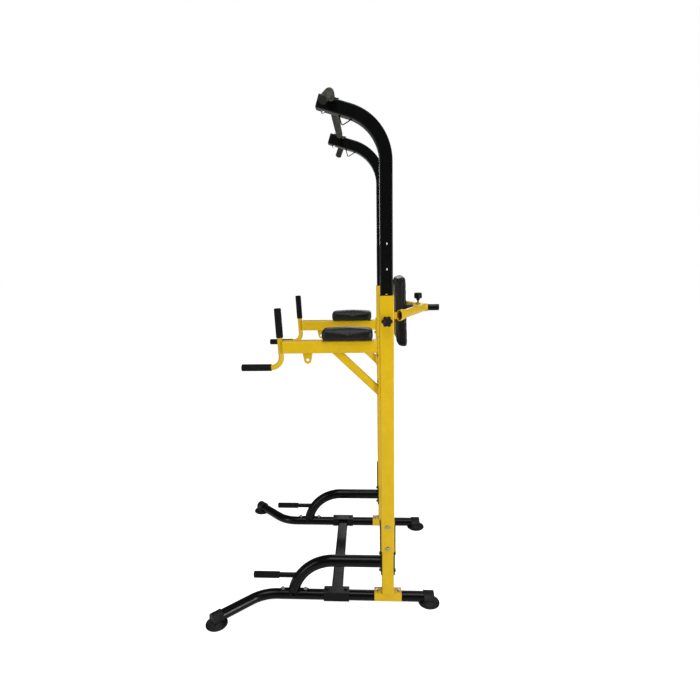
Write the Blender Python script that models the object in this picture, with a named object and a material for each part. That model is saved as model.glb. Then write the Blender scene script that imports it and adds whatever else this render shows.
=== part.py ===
"""Power tower: a free-standing pull-up, dip and push-up station.

Metres, +Z up. X runs across the tower and -Y is the front, where the user stands.
Shapes are laid out from the middle of the foot of the uprights. An empty then carries the
whole tower to UPRIGHT_Y, which puts the origin under the middle of its bounding box.
"""
from math import atan2, cos, pi, radians, sin, tan

import bmesh
import bpy
from mathutils import Matrix, Vector

GAP = 0.0003                 # between pieces that touch
PAST = 0.01                  # how far a cutting tool runs past a face
DRILL = 0.04                 # half the length of a drill that goes through a tube
WELD = 0.001                 # how far welded pieces run into each other
SIDES = 12                   # facets round a tube
FINE_SIDES = 20              # facets round a foot
SMALL_SIDES = 8              # facets round a bolt or a bolt hole

# Frame layout
FRAME_X = 0.307              # upright centre from the middle plane
FOOT_RADIUS = 0.046
FOOT_THICKNESS = 0.0065
REAR_FOOT_Y = 0.180
FRONT_FOOT_Y = -0.722
FRONT_FOOT_X = 0.465
LEG_SPLAY = radians(43.0)    # of the front legs, away from straight ahead
LEG_BEND_RADIUS = 0.16
TUBE_WALL = 0.002
TUBE_CORNER = 0.0045         # outer rounding of a square tube

# Base
RAIL_RADIUS = 0.022
RAIL_Z = 0.0295
RAIL_REAR_Y = 0.196
LEG_OVERHANG = 0.016         # tube end beyond the middle of the front foot
SLEEVE_RADIUS = 0.026
SLEEVE_LENGTH = 0.040
SLEEVE_END = 0.005           # rubber beyond the end of the tube
SOFT_EDGE = 0.003            # rounding of the rubber feet
SADDLE_THICKNESS = 0.003
SADDLE_LENGTH = 0.118
SADDLE_DROP = 0.034          # from the top of the saddle down its cheeks
BASE_POST_WIDTH = 0.052
BASE_POST_TOP = 0.430
CROSSBAR_Y = -0.226
CROSSBAR_WIDTH = 0.050
CROSSBAR_HEIGHT = 0.025
CROSSBAR_PLATE = 0.112
CROSSBAR_SADDLE_DROP = 0.040
CROSSBAR_BOLT_SPREAD = 0.042  # bolts ahead of and behind its middle

# Curved brace and push-up handle
BRACE_RADIUS = 0.025
BRACE_Z = 0.195
BRACE_BEND_RADIUS = 0.1854
BRACE_TURN = radians(75.5)
BRACE_FOOT_Y = -0.415
BRACE_INTO_RAIL = 0.020      # past the bend, before the rail's channel cuts it
BRACE_SADDLE = (0.124, 0.012)  # length, and drop of its edges
BRACE_PLATE_HEIGHT = 0.102
BRACE_BOLT_SPREAD = 0.040    # bolts above and below the tube's axis
PLATE_THICKNESS = 0.004
TONGUE_WIDTH = 0.048         # upper part of the brace's plates, on the faces of the upright
TONGUE_SPAN = (0.244, 0.380)
TONGUE_THICKNESS = 0.0042
PUSH_UP_Z = 0.122
PUSH_UP_TIP_Y = -0.593
PUSH_UP_ROOT_Y = -0.385      # inside the brace
GRIP_RADIUS = 0.0145
GRIP_LENGTH = 0.114
GRIP_END = 0.005             # closed end of a grip, beyond its tube
HANDLE_RADIUS = 0.011

# Upright and the post that slides in it
UPRIGHT_WIDTH = 0.0575
UPRIGHT_WALL = 0.00235
UPRIGHT_BOTTOM = 0.2575
UPRIGHT_TOP = 1.356
UPRIGHT_BOLT_Z = (0.274, 0.374)
POST_WIDTH = 0.050
POST_BOTTOM = 0.800
PIN_Z = 1.2575
PIN_BOSS_RADIUS = 0.011
PIN_BOSS_LENGTH = 0.010
HOLE_PITCH = 0.100
HOLES_ABOVE = 3
HOLES_BELOW = 2
HOLE_RADIUS = 0.006
NECK_BEND_RADIUS = 0.195
NECK_START_Z = 1.863
NECK_TURN = radians(72.1)
NECK_END_LENGTH = 0.1232     # straight stretch after the bend
BUSHING_LENGTH = 0.060
CAP_LIP = 0.003              # outside a tube's end
CAP_DEPTH = 0.012            # inside it

# Pull-up bar
BAR_RADIUS = 0.0125
BAR_FOAM_RADIUS = 0.0155
BAR_AHEAD = 0.0720           # along the neck from the end of its bend
BAR_LIFT = 0.0120            # above the neck's axis
BAR_BEND_X = 0.440
BAR_DROOP = radians(44.0)
BAR_LEAN = radians(28.0)     # of the drooping ends, forward
BAR_BEND_RADIUS = 0.040
BAR_END_LENGTH = 0.064       # from the bend's corner to the tip
FOAM_CENTRE_HALF = 0.215
FOAM_OUTER_START = 0.372
CLAMP_BOLT_AHEAD = 0.0245    # of the bar
CLAMP_SPAN = (-0.022, 0.036)  # along the neck, from the bar
CLAMP_WIDTH = 0.044
CLAMP_THICKNESS = 0.003
LOOP_WIRE = 0.0022           # radius
LOOP_SPAN = (-0.0135, 0.0325)  # along the neck, from the end of its bend
LOOP_SAG = 0.0008            # how far the bend drops below its straight end at the rear of the loop
LOOP_DEPTH = 0.028
LOOP_BEND_RADIUS = 0.006

# Dip arm
ARM_WIDTH = 0.050
ARM_Z = 1.152
ARM_FRONT_Y = -0.4215
ARM_END_WALL = 0.003
STRUT_WIDTH = 0.030
STRUT_FRONT_Y = -0.2005      # where its axis meets the underside of the arm
STRUT_REAR_Z = 0.965         # where its axis meets the flange
STRUT_INTO_ARM = 0.020
FLANGE_BOTTOM = 0.938
FLANGE_TOP = 1.187
FLANGE_THICKNESS = 0.005
FLANGE_BOLT_Z = (1.008, 1.111)
EYE_Y = -0.322
EYE_Z = 1.096
EYE_WIDTH = 0.040
EYE_THICKNESS = 0.005
EYE_HOLE = 0.006
HANDLE_TOP_Z = 1.305
HANDLE_Y = -0.4330
HANDLE_LEAN = radians(2.4)
HANDLE_BEND_RADIUS = 0.043
FORWARD_GRIP_Z = 1.065
FORWARD_GRIP_TIP_Y = -0.598
DIP_GRIP_LENGTHS = (0.120, 0.124)  # upright and forward
ARM_PAD_SIZE = (0.090, 0.208, 0.049)
ARM_PAD_Y = -0.158

# Backrest
BRACKET_Z = 1.272
BRACKET_RADIUS = 0.018
BRACKET_END = (0.293, 0.052)
BRACKET_APEX_Y = 0.180
BRACKET_BOSS = 0.013         # half the height of its foot on the upright
BRACKET_SLEEVE_WALL = 0.0034
SLEEVE_SPAN = (0.132, 0.199)
SLIDE_RADIUS = 0.0145
SLIDE_REAR_Y = 0.248
SLIDE_CAP = 0.003
PAD_SIZE = (0.240, 0.042, 0.311)
PAD_Y = 0.0735
PAD_Z = 1.263
PAD_TILT = radians(1.5)
BACK_KNOB_Y = 0.156
BACK_KNOB_SIZE = (0.019, 0.034)  # radius and height

# Star knobs and bolts
KNOB_RADIUS = 0.0225
KNOB_LOBES = 6
KNOB_HEIGHT = 0.020
PIN_RADIUS = 0.005
PIN_COLLAR = (0.0075, 0.003)  # radius and length
PIN_STEM = (0.004, 0.011)    # radius and length of the end that carries the knob
BOLT_RADIUS = 0.004
BOLT_HEAD = 0.0065           # half the width across flats
BOLT_HEAD_HEIGHT = 0.0055
BOLT_HOLE = 0.0044
NUT_HEIGHT = 0.0065
THREAD_SHOWN = 0.0025        # bolt end beyond its nut

UPRIGHT_Y = (FOOT_RADIUS - FRONT_FOOT_Y - SLIDE_REAR_Y - SLIDE_CAP) / 2.0

X_AXIS = Vector((1.0, 0.0, 0.0))
Y_AXIS = Vector((0.0, 1.0, 0.0))
Z_AXIS = Vector((0.0, 0.0, 1.0))


# ---------------------------------------------------------------- materials
def make_material(name, colour, roughness, metallic=0.0):
    material = bpy.data.materials.new(name)
    material.use_nodes = True
    shader = material.node_tree.nodes["Principled BSDF"]
    shader.inputs["Base Color"].default_value = (*colour, 1.0)
    shader.inputs["Roughness"].default_value = roughness
    shader.inputs["Metallic"].default_value = metallic
    material.diffuse_color = (*colour, 1.0)
    return material


def make_materials():
    return {
        "yellow": make_material("yellow_paint", (0.72, 0.47, 0.015), 0.35),
        "black": make_material("black_paint", (0.012, 0.012, 0.013), 0.28),
        "rubber": make_material("rubber", (0.020, 0.022, 0.022), 0.70),
        "foam": make_material("foam", (0.055, 0.053, 0.048), 0.90),
        "vinyl": make_material("vinyl", (0.018, 0.018, 0.018), 0.50),
        "plastic": make_material("plastic", (0.015, 0.015, 0.016), 0.45),
        "zinc": make_material("zinc_plate", (0.55, 0.56, 0.57), 0.35, 1.0),
    }


# ---------------------------------------------------------------- outlines and paths
def circle(radius, sides=SIDES):
    return [(radius * cos(2 * pi * i / sides), radius * sin(2 * pi * i / sides)) for i in range(sides)]


def rounded_box(width, height, corner, steps=1):
    """Outline of a rectangle with round corners."""
    points = []
    for quarter in range(4):
        sx = 1 if quarter in (0, 3) else -1
        sy = 1 if quarter < 2 else -1
        for step in range(steps + 1):
            angle = (quarter + step / steps) * pi / 2
            points.append((sx * (width / 2 - corner) + corner * cos(angle),
                           sy * (height / 2 - corner) + corner * sin(angle)))
    return points


def bent_path(corners, radius, steps=6):
    """Centre line through corners, with each inner corner turned into an arc."""
    corners = [Vector(c) for c in corners]
    path = [corners[0]]
    for before, corner, after in zip(corners, corners[1:], corners[2:]):
        into = (corner - before).normalized()
        out = (after - corner).normalized()
        turn = into.angle(out)
        inward = (out - into).normalized()
        centre = corner + inward * radius / cos(turn / 2)
        for step in range(steps + 1):
            angle = turn * (step / steps - 0.5)
            path.append(centre - inward * radius * cos(angle)
                        + (into + out).normalized() * radius * sin(angle))
    path.append(corners[-1])
    return path


# ---------------------------------------------------------------- meshes
def new_object(name, bm, smooth=True):
    bmesh.ops.recalc_face_normals(bm, faces=bm.faces)
    mesh = bpy.data.meshes.new(name)
    bm.to_mesh(mesh)
    bm.free()
    obj = bpy.data.objects.new(name, mesh)
    bpy.context.scene.collection.objects.link(obj)
    if smooth:
        mesh.shade_smooth()
        mesh.set_sharp_from_angle(angle=radians(35.0))
    return obj


def sweep(path, side, outline, squash=None):
    """Solid swept along a flat path. side is the normal of the path's plane.

    squash gives, for each point of the path, factors for the outline along side and across it.
    """
    bm = bmesh.new()
    side = Vector(side).normalized()
    rings = []
    last = len(path) - 1
    for i, point in enumerate(path):
        into = (path[i] - path[i - 1]).normalized() if i else (path[1] - path[0]).normalized()
        out = (path[i + 1] - path[i]).normalized() if i < last else into
        across = (into + out).normalized().cross(side)
        mitre = 1.0 / cos(into.angle(out, 0.0) / 2)
        wide, tall = squash[i] if squash else (1.0, 1.0)
        rings.append([bm.verts.new(point + side * u * wide + across * v * mitre * tall) for u, v in outline])
    count = len(outline)
    for ring, following in zip(rings, rings[1:]):
        for i in range(count):
            j = (i + 1) % count
            bm.faces.new((ring[i], ring[j], following[j], following[i]))
    bm.faces.new(rings[0])
    bm.faces.new(rings[-1])
    return new_object("sweep", bm)


def rod(start, end, radius, sides=SIDES):
    """Round bar between two points."""
    start, end = Vector(start), Vector(end)
    direction = (end - start).normalized()
    side = direction.cross(Z_AXIS if abs(direction.z) < 0.9 else X_AXIS)
    return sweep([start, end], side, circle(radius, sides))


def turned(profile, start, axis, sides=SIDES):
    """Solid of revolution. profile lists (distance along the axis, radius), both ends flat."""
    start, axis = Vector(start), Vector(axis).normalized()
    u = axis.cross(Z_AXIS if abs(axis.z) < 0.9 else Y_AXIS).normalized()
    v = axis.cross(u)
    bm = bmesh.new()
    rings = [[bm.verts.new(start + axis * along + u * a + v * b) for a, b in circle(radius, sides)]
             for along, radius in profile]
    for ring, following in zip(rings, rings[1:]):
        for i in range(sides):
            j = (i + 1) % sides
            bm.faces.new((ring[i], ring[j], following[j], following[i]))
    bm.faces.new(rings[0])
    bm.faces.new(rings[-1])
    return new_object("turned", bm)


def block(low, high):
    """Box between two opposite corners."""
    low, high = Vector(low), Vector(high)
    bm = bmesh.new()
    bmesh.ops.create_cube(bm, size=1.0, matrix=Matrix.Translation((low + high) / 2)
                          @ Matrix.Diagonal((*(high - low), 1.0)))
    return new_object("block", bm, smooth=False)


def plate(outline, low, high, axis=Z_AXIS, side=X_AXIS, centre=(0, 0, 0)):
    """Flat plate: an outline pushed from low to high along an axis."""
    centre = Vector(centre)
    return sweep([centre + axis * low, centre + axis * high], side, outline)


def square_outline(width, inset=0.0):
    """Outline of a square tube, or of its hollow with inset as the wall."""
    return rounded_box(width - 2 * inset, width - 2 * inset, TUBE_CORNER - 0.6 * inset)


def square_tube(width, inset, low, high, x):
    """Upright square bar at x, inset from the tube's outside."""
    return plate(square_outline(width, inset), low, high, centre=(x, 0, 0))


def drill(centre, axis, radius=None, sides=SMALL_SIDES):
    """Round tool that goes through a tube on both sides of its middle."""
    centre = Vector(centre)
    return rod(centre - axis * DRILL, centre + axis * DRILL, radius or BOLT_HOLE, sides)


def combine(target, tools, operation):
    """Applies one Boolean per tool, and removes the tools."""
    for tool in tools:
        modifier = target.modifiers.new("cut", "BOOLEAN")
        modifier.operation = operation
        modifier.solver = "EXACT"
        modifier.object = tool
    graph = bpy.context.evaluated_depsgraph_get()
    mesh = bpy.data.meshes.new_from_object(target.evaluated_get(graph))
    target.modifiers.clear()
    target.data = mesh
    for tool in tools:
        bpy.data.objects.remove(tool)
    return target


def weld(solids, voids=()):
    """One piece made of overlapping solids, with the voids taken out of it."""
    piece = combine(solids[0], solids[1:], "UNION") if len(solids) > 1 else solids[0]
    return combine(piece, voids, "DIFFERENCE") if voids else piece


def place(name, piece, material, origin=(0, 0, 0), parent=None):
    """Names a piece, moves its origin and hangs it on the tower."""
    origin = Vector(origin)
    piece.name = name
    piece.data.name = name
    piece.data.transform(Matrix.Translation(-origin))
    piece.location = origin
    piece.parent = parent
    piece.data.materials.clear()
    piece.data.materials.append(material)
    piece.data.shade_smooth()
    piece.data.set_sharp_from_angle(angle=radians(35.0))
    return piece


def bolt(head, axis, length, nut=False):
    """Hexagon bolt. head is the seat of its head, and axis points along the shank."""
    head, axis = Vector(head), Vector(axis).normalized()
    across_corners = BOLT_HEAD / cos(pi / 6)
    solids = [turned([(-BOLT_HEAD_HEIGHT, across_corners), (0.0, across_corners)], head, axis, 6),
              turned([(-WELD, BOLT_RADIUS), (length, BOLT_RADIUS)], head, axis, SMALL_SIDES)]
    if nut:
        end = length - THREAD_SHOWN
        solids.append(turned([(end - NUT_HEIGHT, across_corners), (end, across_corners)], head, axis, 6))
    return weld(solids)


def star_knob(seat, axis, height, radius, bore=None):
    """Lobed knob with a round boss under it. bore is the radius of a blind bore for its shaft."""
    seat, axis = Vector(seat), Vector(axis).normalized()
    side = axis.cross(Z_AXIS if abs(axis.z) < 0.9 else Y_AXIS).normalized()
    outline = []
    for i in range(KNOB_LOBES * 4):
        angle = 2 * pi * i / (KNOB_LOBES * 4)
        reach = radius * (0.86 + 0.14 * cos(KNOB_LOBES * angle))
        outline.append((reach * cos(angle), reach * sin(angle)))
    boss = 0.25 * height
    path = [seat + axis * (boss + (height - boss) * t) for t in (0.0, 0.2, 0.8, 1.0)]
    rim = [(0.90, 0.90), (1.0, 1.0), (1.0, 1.0), (0.90, 0.90)]
    body = sweep(path, side, outline, rim)
    foot = turned([(0.0, 0.42 * radius), (boss + 2 * WELD, 0.50 * radius)], seat, axis)
    return weld([body, foot], [rod(seat - axis * PAST, seat + axis * 0.6 * height, bore)] if bore else [])


def grip(tip, axis, length, radius, bore):
    """Foam sleeve with a closed round end. axis points from the tip along the tube."""
    end = 0.004
    profile = [(0.0, radius - end), (0.0015, radius - 0.0012), (end, radius), (length, radius)]
    body = turned(profile, tip, axis)
    hole = turned([(end, bore), (length + PAST, bore)], tip, axis)
    return weld([body], [hole])


# ---------------------------------------------------------------- base
def leg_direction(side):
    return Vector((side * sin(LEG_SPLAY), -cos(LEG_SPLAY), 0.0))


def base_rail(side):
    foot = Vector((side * FRONT_FOOT_X, FRONT_FOOT_Y, RAIL_Z))
    run = (FRONT_FOOT_X - FRAME_X) / sin(LEG_SPLAY)
    corner = foot - leg_direction(side) * run
    corners = [(side * FRAME_X, RAIL_REAR_Y, RAIL_Z), corner, foot + leg_direction(side) * LEG_OVERHANG]
    path = bent_path(corners, LEG_BEND_RADIUS)
    start, end = path[0] + Y_AXIS * PAST, path[-1] + leg_direction(side) * PAST
    solid = sweep(path, Z_AXIS, circle(RAIL_RADIUS))
    void = sweep([start] + path[1:-1] + [end], Z_AXIS, circle(RAIL_RADIUS - TUBE_WALL))
    holes = [drill((side * FRAME_X, y, RAIL_Z), Z_AXIS) for y in crossbar_bolt_places()]
    return weld([solid], [void] + holes)


def crossbar_bolt_places():
    return [CROSSBAR_Y - CROSSBAR_BOLT_SPREAD, CROSSBAR_Y + CROSSBAR_BOLT_SPREAD]


def foot(centre, direction, tube_end):
    """Rubber foot: a sleeve closed over the tube's end, on a round disc."""
    centre, direction, tube_end = Vector(centre), Vector(direction), Vector(tube_end)
    disc = turned([(0.0, FOOT_RADIUS), (FOOT_THICKNESS - SOFT_EDGE, FOOT_RADIUS),
                   (FOOT_THICKNESS, FOOT_RADIUS - SOFT_EDGE)], (centre.x, centre.y, 0.0), Z_AXIS, FINE_SIDES)
    closed_end = tube_end + direction * SLEEVE_END
    sleeve = turned([(0.0, SLEEVE_RADIUS - SOFT_EDGE), (SOFT_EDGE, SLEEVE_RADIUS),
                     (SLEEVE_LENGTH + SLEEVE_END, SLEEVE_RADIUS)], closed_end, -direction)
    bore = rod(tube_end + direction * GAP, tube_end - direction * 2 * SLEEVE_LENGTH, RAIL_RADIUS + GAP)
    return weld([disc, sleeve], [bore])


def rear_foot(side):
    return foot((side * FRAME_X, REAR_FOOT_Y, RAIL_Z), Y_AXIS, (side * FRAME_X, RAIL_REAR_Y, RAIL_Z))


def front_foot(side):
    centre = Vector((side * FRONT_FOOT_X, FRONT_FOOT_Y, RAIL_Z))
    return foot(centre, leg_direction(side), centre + leg_direction(side) * LEG_OVERHANG)


def rail_saddle(side, y, length, drop, cheek):
    """Channel over the rail: cheek is its side wall, which ends at drop below its top."""
    top = RAIL_Z + RAIL_RADIUS + GAP + SADDLE_THICKNESS
    x = side * FRAME_X
    half = RAIL_RADIUS + GAP + cheek
    shell = block((x - half, y - length / 2, top - drop), (x + half, y + length / 2, top))
    reach = RAIL_RADIUS + GAP
    channel = [rod((x, y - length, RAIL_Z), (x, y + length, RAIL_Z), reach),
               block((x - reach, y - length, RAIL_Z - 2 * reach), (x + reach, y + length, RAIL_Z))]
    return shell, channel


def base_post(side):
    """Lower post on its saddle: a tube that carries the upright."""
    x = side * FRAME_X
    shell, channel = rail_saddle(side, 0.0, SADDLE_LENGTH, SADDLE_DROP, SADDLE_THICKNESS)
    foot_z = RAIL_Z + RAIL_RADIUS + GAP + SADDLE_THICKNESS
    tube = square_tube(BASE_POST_WIDTH, 0.0, foot_z - WELD, BASE_POST_TOP, x)
    void = square_tube(BASE_POST_WIDTH, TUBE_WALL, foot_z + WELD, BASE_POST_TOP + PAST, x)
    holes = [drill((x, 0, z), X_AXIS) for z in UPRIGHT_BOLT_Z]
    holes += [drill((x, 0, z), Y_AXIS) for z in brace_bolt_places()]
    return weld([shell, tube], channel + [void] + holes)


def crossbar():
    """Flat tube between the rails, on a saddle at each end."""
    reach = FRAME_X - RAIL_RADIUS - GAP - WELD
    y, z = CROSSBAR_Y, RAIL_Z
    outline = rounded_box(CROSSBAR_HEIGHT, CROSSBAR_WIDTH, 0.006)
    inner = rounded_box(CROSSBAR_HEIGHT - 2 * TUBE_WALL, CROSSBAR_WIDTH - 2 * TUBE_WALL, 0.004)
    solids = [plate(outline, -reach, reach, axis=X_AXIS, side=Z_AXIS, centre=(0, y, z))]
    voids = [plate(inner, -reach - PAST, reach + PAST, axis=X_AXIS, side=Z_AXIS, centre=(0, y, z))]
    for side in (1, -1):
        x = side * FRAME_X
        shell, channel = rail_saddle(side, y, CROSSBAR_PLATE, CROSSBAR_SADDLE_DROP, SADDLE_THICKNESS)
        solids.append(shell)
        voids += channel
        voids += [drill((x, bolt_y, z + DRILL), Z_AXIS) for bolt_y in crossbar_bolt_places()]
    return weld(solids, voids)


# ---------------------------------------------------------------- curved brace
def brace_bolt_places():
    return [BRACE_Z - BRACE_BOLT_SPREAD, BRACE_Z + BRACE_BOLT_SPREAD]


def brace_tongue(side, facing):
    """Upper part of a brace plate, which lies on the front or rear face of the upright."""
    low, high = TONGUE_SPAN
    seat = UPRIGHT_WIDTH / 2 + GAP
    return plate(rounded_box(TONGUE_WIDTH, high - low, 0.004), seat, seat + TONGUE_THICKNESS,
                 axis=facing, centre=(side * FRAME_X, 0, (low + high) / 2))


def curved_brace(side):
    """Bent tube from the post down to the rail, with the push-up handle's tube."""
    x = side * FRAME_X
    front = -BASE_POST_WIDTH / 2 - GAP
    tangent = BRACE_BEND_RADIUS * tan(BRACE_TURN / 2)
    corner_y = BRACE_FOOT_Y + BRACE_BEND_RADIUS * sin(BRACE_TURN) - tangent
    down = Vector((0.0, -cos(BRACE_TURN), -sin(BRACE_TURN)))
    corner = Vector((x, corner_y, BRACE_Z))
    foot = corner + down * (tangent + BRACE_INTO_RAIL)
    path = bent_path([(x, front - WELD, BRACE_Z), corner, foot], BRACE_BEND_RADIUS, 7)
    tube = sweep(path, X_AXIS, circle(BRACE_RADIUS))
    void = sweep([path[0] + Y_AXIS * PAST] + path[1:], X_AXIS, circle(BRACE_RADIUS - TUBE_WALL))
    head = plate(rounded_box(BASE_POST_WIDTH, BRACE_PLATE_HEIGHT, 0.006), front, front - PLATE_THICKNESS,
                 axis=Y_AXIS, centre=(x, 0, BRACE_Z))
    shell, channel = rail_saddle(side, BRACE_FOOT_Y, *BRACE_SADDLE, -0.006)
    tip = Vector((x, PUSH_UP_TIP_Y, PUSH_UP_Z))
    root = Vector((x, PUSH_UP_ROOT_Y, PUSH_UP_Z))
    handle = rod(tip + Y_AXIS * GRIP_END, root, HANDLE_RADIUS)
    handle_void = rod(tip - Y_AXIS * PAST, root + Y_AXIS * PAST, HANDLE_RADIUS - TUBE_WALL)
    holes = [drill((x, -DRILL, z), Y_AXIS) for z in brace_bolt_places()]
    return weld([tube, head, brace_tongue(side, -Y_AXIS), shell, handle], channel + [void, handle_void] + holes)


def brace_clamp(side):
    """Plate behind the post with the two studs that pull the brace against it."""
    x = side * FRAME_X
    rear = BASE_POST_WIDTH / 2 + GAP
    solids = [plate(rounded_box(BASE_POST_WIDTH, BRACE_PLATE_HEIGHT, 0.006), rear, rear + PLATE_THICKNESS,
                    axis=Y_AXIS, centre=(x, 0, BRACE_Z)), brace_tongue(side, Y_AXIS)]
    nut_seat = -(BASE_POST_WIDTH / 2 + GAP + PLATE_THICKNESS + GAP)
    stud_end = nut_seat - NUT_HEIGHT - THREAD_SHOWN
    corners = BOLT_HEAD / cos(pi / 6)
    for z in brace_bolt_places():
        solids.append(rod((x, stud_end, z), (x, rear + WELD, z), BOLT_RADIUS, SMALL_SIDES))
        solids.append(turned([(0, corners), (NUT_HEIGHT, corners)], (x, nut_seat, z), -Y_AXIS, 6))
        solids.append(turned([(-WELD, corners), (BOLT_HEAD_HEIGHT, corners)],
                             (x, rear + PLATE_THICKNESS, z), Y_AXIS, 6))
    return weld(solids)


def push_up_grip(side):
    tip = (side * FRAME_X, PUSH_UP_TIP_Y, PUSH_UP_Z)
    return grip(tip, Y_AXIS, GRIP_LENGTH, GRIP_RADIUS, HANDLE_RADIUS + GAP)


# ---------------------------------------------------------------- upright
def upright(side):
    x = side * FRAME_X
    tube = square_tube(UPRIGHT_WIDTH, 0.0, UPRIGHT_BOTTOM, UPRIGHT_TOP, x)
    void = square_tube(UPRIGHT_WIDTH, UPRIGHT_WALL, UPRIGHT_BOTTOM - PAST, UPRIGHT_TOP + PAST, x)
    face = x + side * UPRIGHT_WIDTH / 2
    boss = rod((face - side * WELD, 0, PIN_Z), (face + side * PIN_BOSS_LENGTH, 0, PIN_Z), PIN_BOSS_RADIUS)
    pin_hole = rod((x, 0, PIN_Z), (face + side * DRILL, 0, PIN_Z), PIN_RADIUS + GAP, 10)
    holes = [drill((x, 0, z), X_AXIS) for z in UPRIGHT_BOLT_Z]
    holes += [drill((x, -DRILL, z), Y_AXIS) for z in FLANGE_BOLT_Z]
    return weld([tube, boss], [void, pin_hole] + holes)


def upright_bolt(side, z):
    face = FRAME_X + UPRIGHT_WIDTH / 2 + GAP
    grip_length = UPRIGHT_WIDTH + 2 * GAP
    return bolt((side * face, 0, z), (-side, 0, 0), grip_length + NUT_HEIGHT + THREAD_SHOWN + GAP, nut=True)


def post_bushing(side):
    """Plastic sleeve in the mouth of the upright that guides the sliding post."""
    x = side * FRAME_X
    low, high = UPRIGHT_TOP - BUSHING_LENGTH, UPRIGHT_TOP
    body = square_tube(UPRIGHT_WIDTH, UPRIGHT_WALL + GAP, low, high, x)
    void = square_tube(POST_WIDTH, -GAP, low - PAST, high + PAST, x)
    return weld([body], [void])


def height_pin(side):
    """Locking pin with a collar outside the upright's boss. Its nose stops clear of the post."""
    clear = 2 * GAP
    collar = (UPRIGHT_WIDTH - POST_WIDTH) / 2 + PIN_BOSS_LENGTH
    flank = collar + PIN_COLLAR[1]
    profile = [(0.0, PIN_RADIUS - 0.001), (0.001, PIN_RADIUS), (collar, PIN_RADIUS), (collar, PIN_COLLAR[0]),
               (flank, PIN_COLLAR[0]), (flank, PIN_STEM[0]), (flank + PIN_STEM[1], PIN_STEM[0])]
    nose = side * (FRAME_X + POST_WIDTH / 2 + clear)
    return turned(profile, (nose, 0, PIN_Z), (side, 0, 0), 10)


def height_knob(side):
    seat = side * (FRAME_X + UPRIGHT_WIDTH / 2 + PIN_BOSS_LENGTH + PIN_COLLAR[1] + 3 * GAP)
    return star_knob((seat, 0, PIN_Z), (side, 0, 0), KNOB_HEIGHT, KNOB_RADIUS, PIN_STEM[0] + GAP)


# ---------------------------------------------------------------- gooseneck posts
def neck_axes():
    """Directions along the end of the neck and square to it, upward."""
    along = Vector((0.0, -sin(NECK_TURN), cos(NECK_TURN)))
    lift = Vector((0.0, cos(NECK_TURN), sin(NECK_TURN)))
    return along, lift


def neck_point(side, distance, lift_by=0.0):
    """Point on the neck's straight end, measured from the end of the bend."""
    along, lift = neck_axes()
    bend_end = Vector((side * FRAME_X, -NECK_BEND_RADIUS * (1 - cos(NECK_TURN)),
                       NECK_START_Z + NECK_BEND_RADIUS * sin(NECK_TURN)))
    return bend_end + along * distance + lift * lift_by


def gooseneck(side):
    """Square post with a bent neck, a row of height holes and a notch for the bar."""
    x = side * FRAME_X
    corner = Vector((x, 0.0, NECK_START_Z + NECK_BEND_RADIUS * tan(NECK_TURN / 2)))
    path = bent_path([(x, 0, POST_BOTTOM), corner, neck_point(side, NECK_END_LENGTH)], NECK_BEND_RADIUS, 8)
    along, lift = neck_axes()
    solid = sweep(path, X_AXIS, square_outline(POST_WIDTH))
    void_path = [path[0] - Z_AXIS * PAST] + path[1:-1] + [path[-1] + along * PAST]
    void = sweep(void_path, X_AXIS, square_outline(POST_WIDTH, TUBE_WALL))
    holes = [drill((x, 0, PIN_Z + i * HOLE_PITCH), X_AXIS, HOLE_RADIUS, SMALL_SIDES)
             for i in range(-HOLES_BELOW, HOLES_ABOVE + 1)]
    seat = neck_point(side, BAR_AHEAD, BAR_LIFT)
    reach = BAR_RADIUS + GAP
    notch = plate([(-DRILL, -reach), (DRILL, -reach), (DRILL, reach), (-DRILL, reach)], 0.0, DRILL,
                  axis=lift, centre=seat)
    cradle = drill(seat, X_AXIS, reach, SIDES)
    bolt_hole = drill(neck_point(side, BAR_AHEAD + CLAMP_BOLT_AHEAD), lift)
    return weld([solid], [void, notch, cradle, bolt_hole] + holes)


def gooseneck_cap(side):
    """Plastic plug in the open end of the neck."""
    along, _ = neck_axes()
    end = neck_point(side, NECK_END_LENGTH)
    lip = plate(square_outline(POST_WIDTH), GAP, CAP_LIP, axis=along, centre=end)
    plug = plate(square_outline(POST_WIDTH, TUBE_WALL + GAP), -CAP_DEPTH, WELD, axis=along, centre=end)
    return weld([lip, plug])


def bar_clamp(side):
    """Strap over the bar, bolted down on the neck."""
    _, lift = neck_axes()
    middle = POST_WIDTH / 2 + GAP + CLAMP_THICKNESS / 2
    start = neck_point(side, BAR_AHEAD + CLAMP_SPAN[0], middle)
    end = neck_point(side, BAR_AHEAD + CLAMP_SPAN[1], middle)
    strap = sweep([start, end], X_AXIS, rounded_box(CLAMP_WIDTH, CLAMP_THICKNESS, 0.001))
    return weld([strap], [drill(neck_point(side, BAR_AHEAD + CLAMP_BOLT_AHEAD, DRILL), lift)])


def bar_bolt(side):
    _, lift = neck_axes()
    grip_length = POST_WIDTH + CLAMP_THICKNESS + 3 * GAP
    head = neck_point(side, BAR_AHEAD + CLAMP_BOLT_AHEAD, POST_WIDTH / 2 + CLAMP_THICKNESS + 2 * GAP)
    return bolt(head, -lift, grip_length + NUT_HEIGHT + THREAD_SHOWN, nut=True)


def hook_loop(side):
    """Bent wire under the neck, for a strap or a band."""
    underside = -POST_WIDTH / 2 - GAP - LOOP_WIRE
    rear = neck_point(side, LOOP_SPAN[0], underside - LOOP_SAG)
    front = neck_point(side, LOOP_SPAN[1], underside)
    _, lift = neck_axes()
    middle = front.lerp(rear, 0.42) - lift * LOOP_DEPTH
    path = bent_path([front, middle, rear], LOOP_BEND_RADIUS, 3)
    return sweep(path, X_AXIS, circle(LOOP_WIRE, 6))


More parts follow.
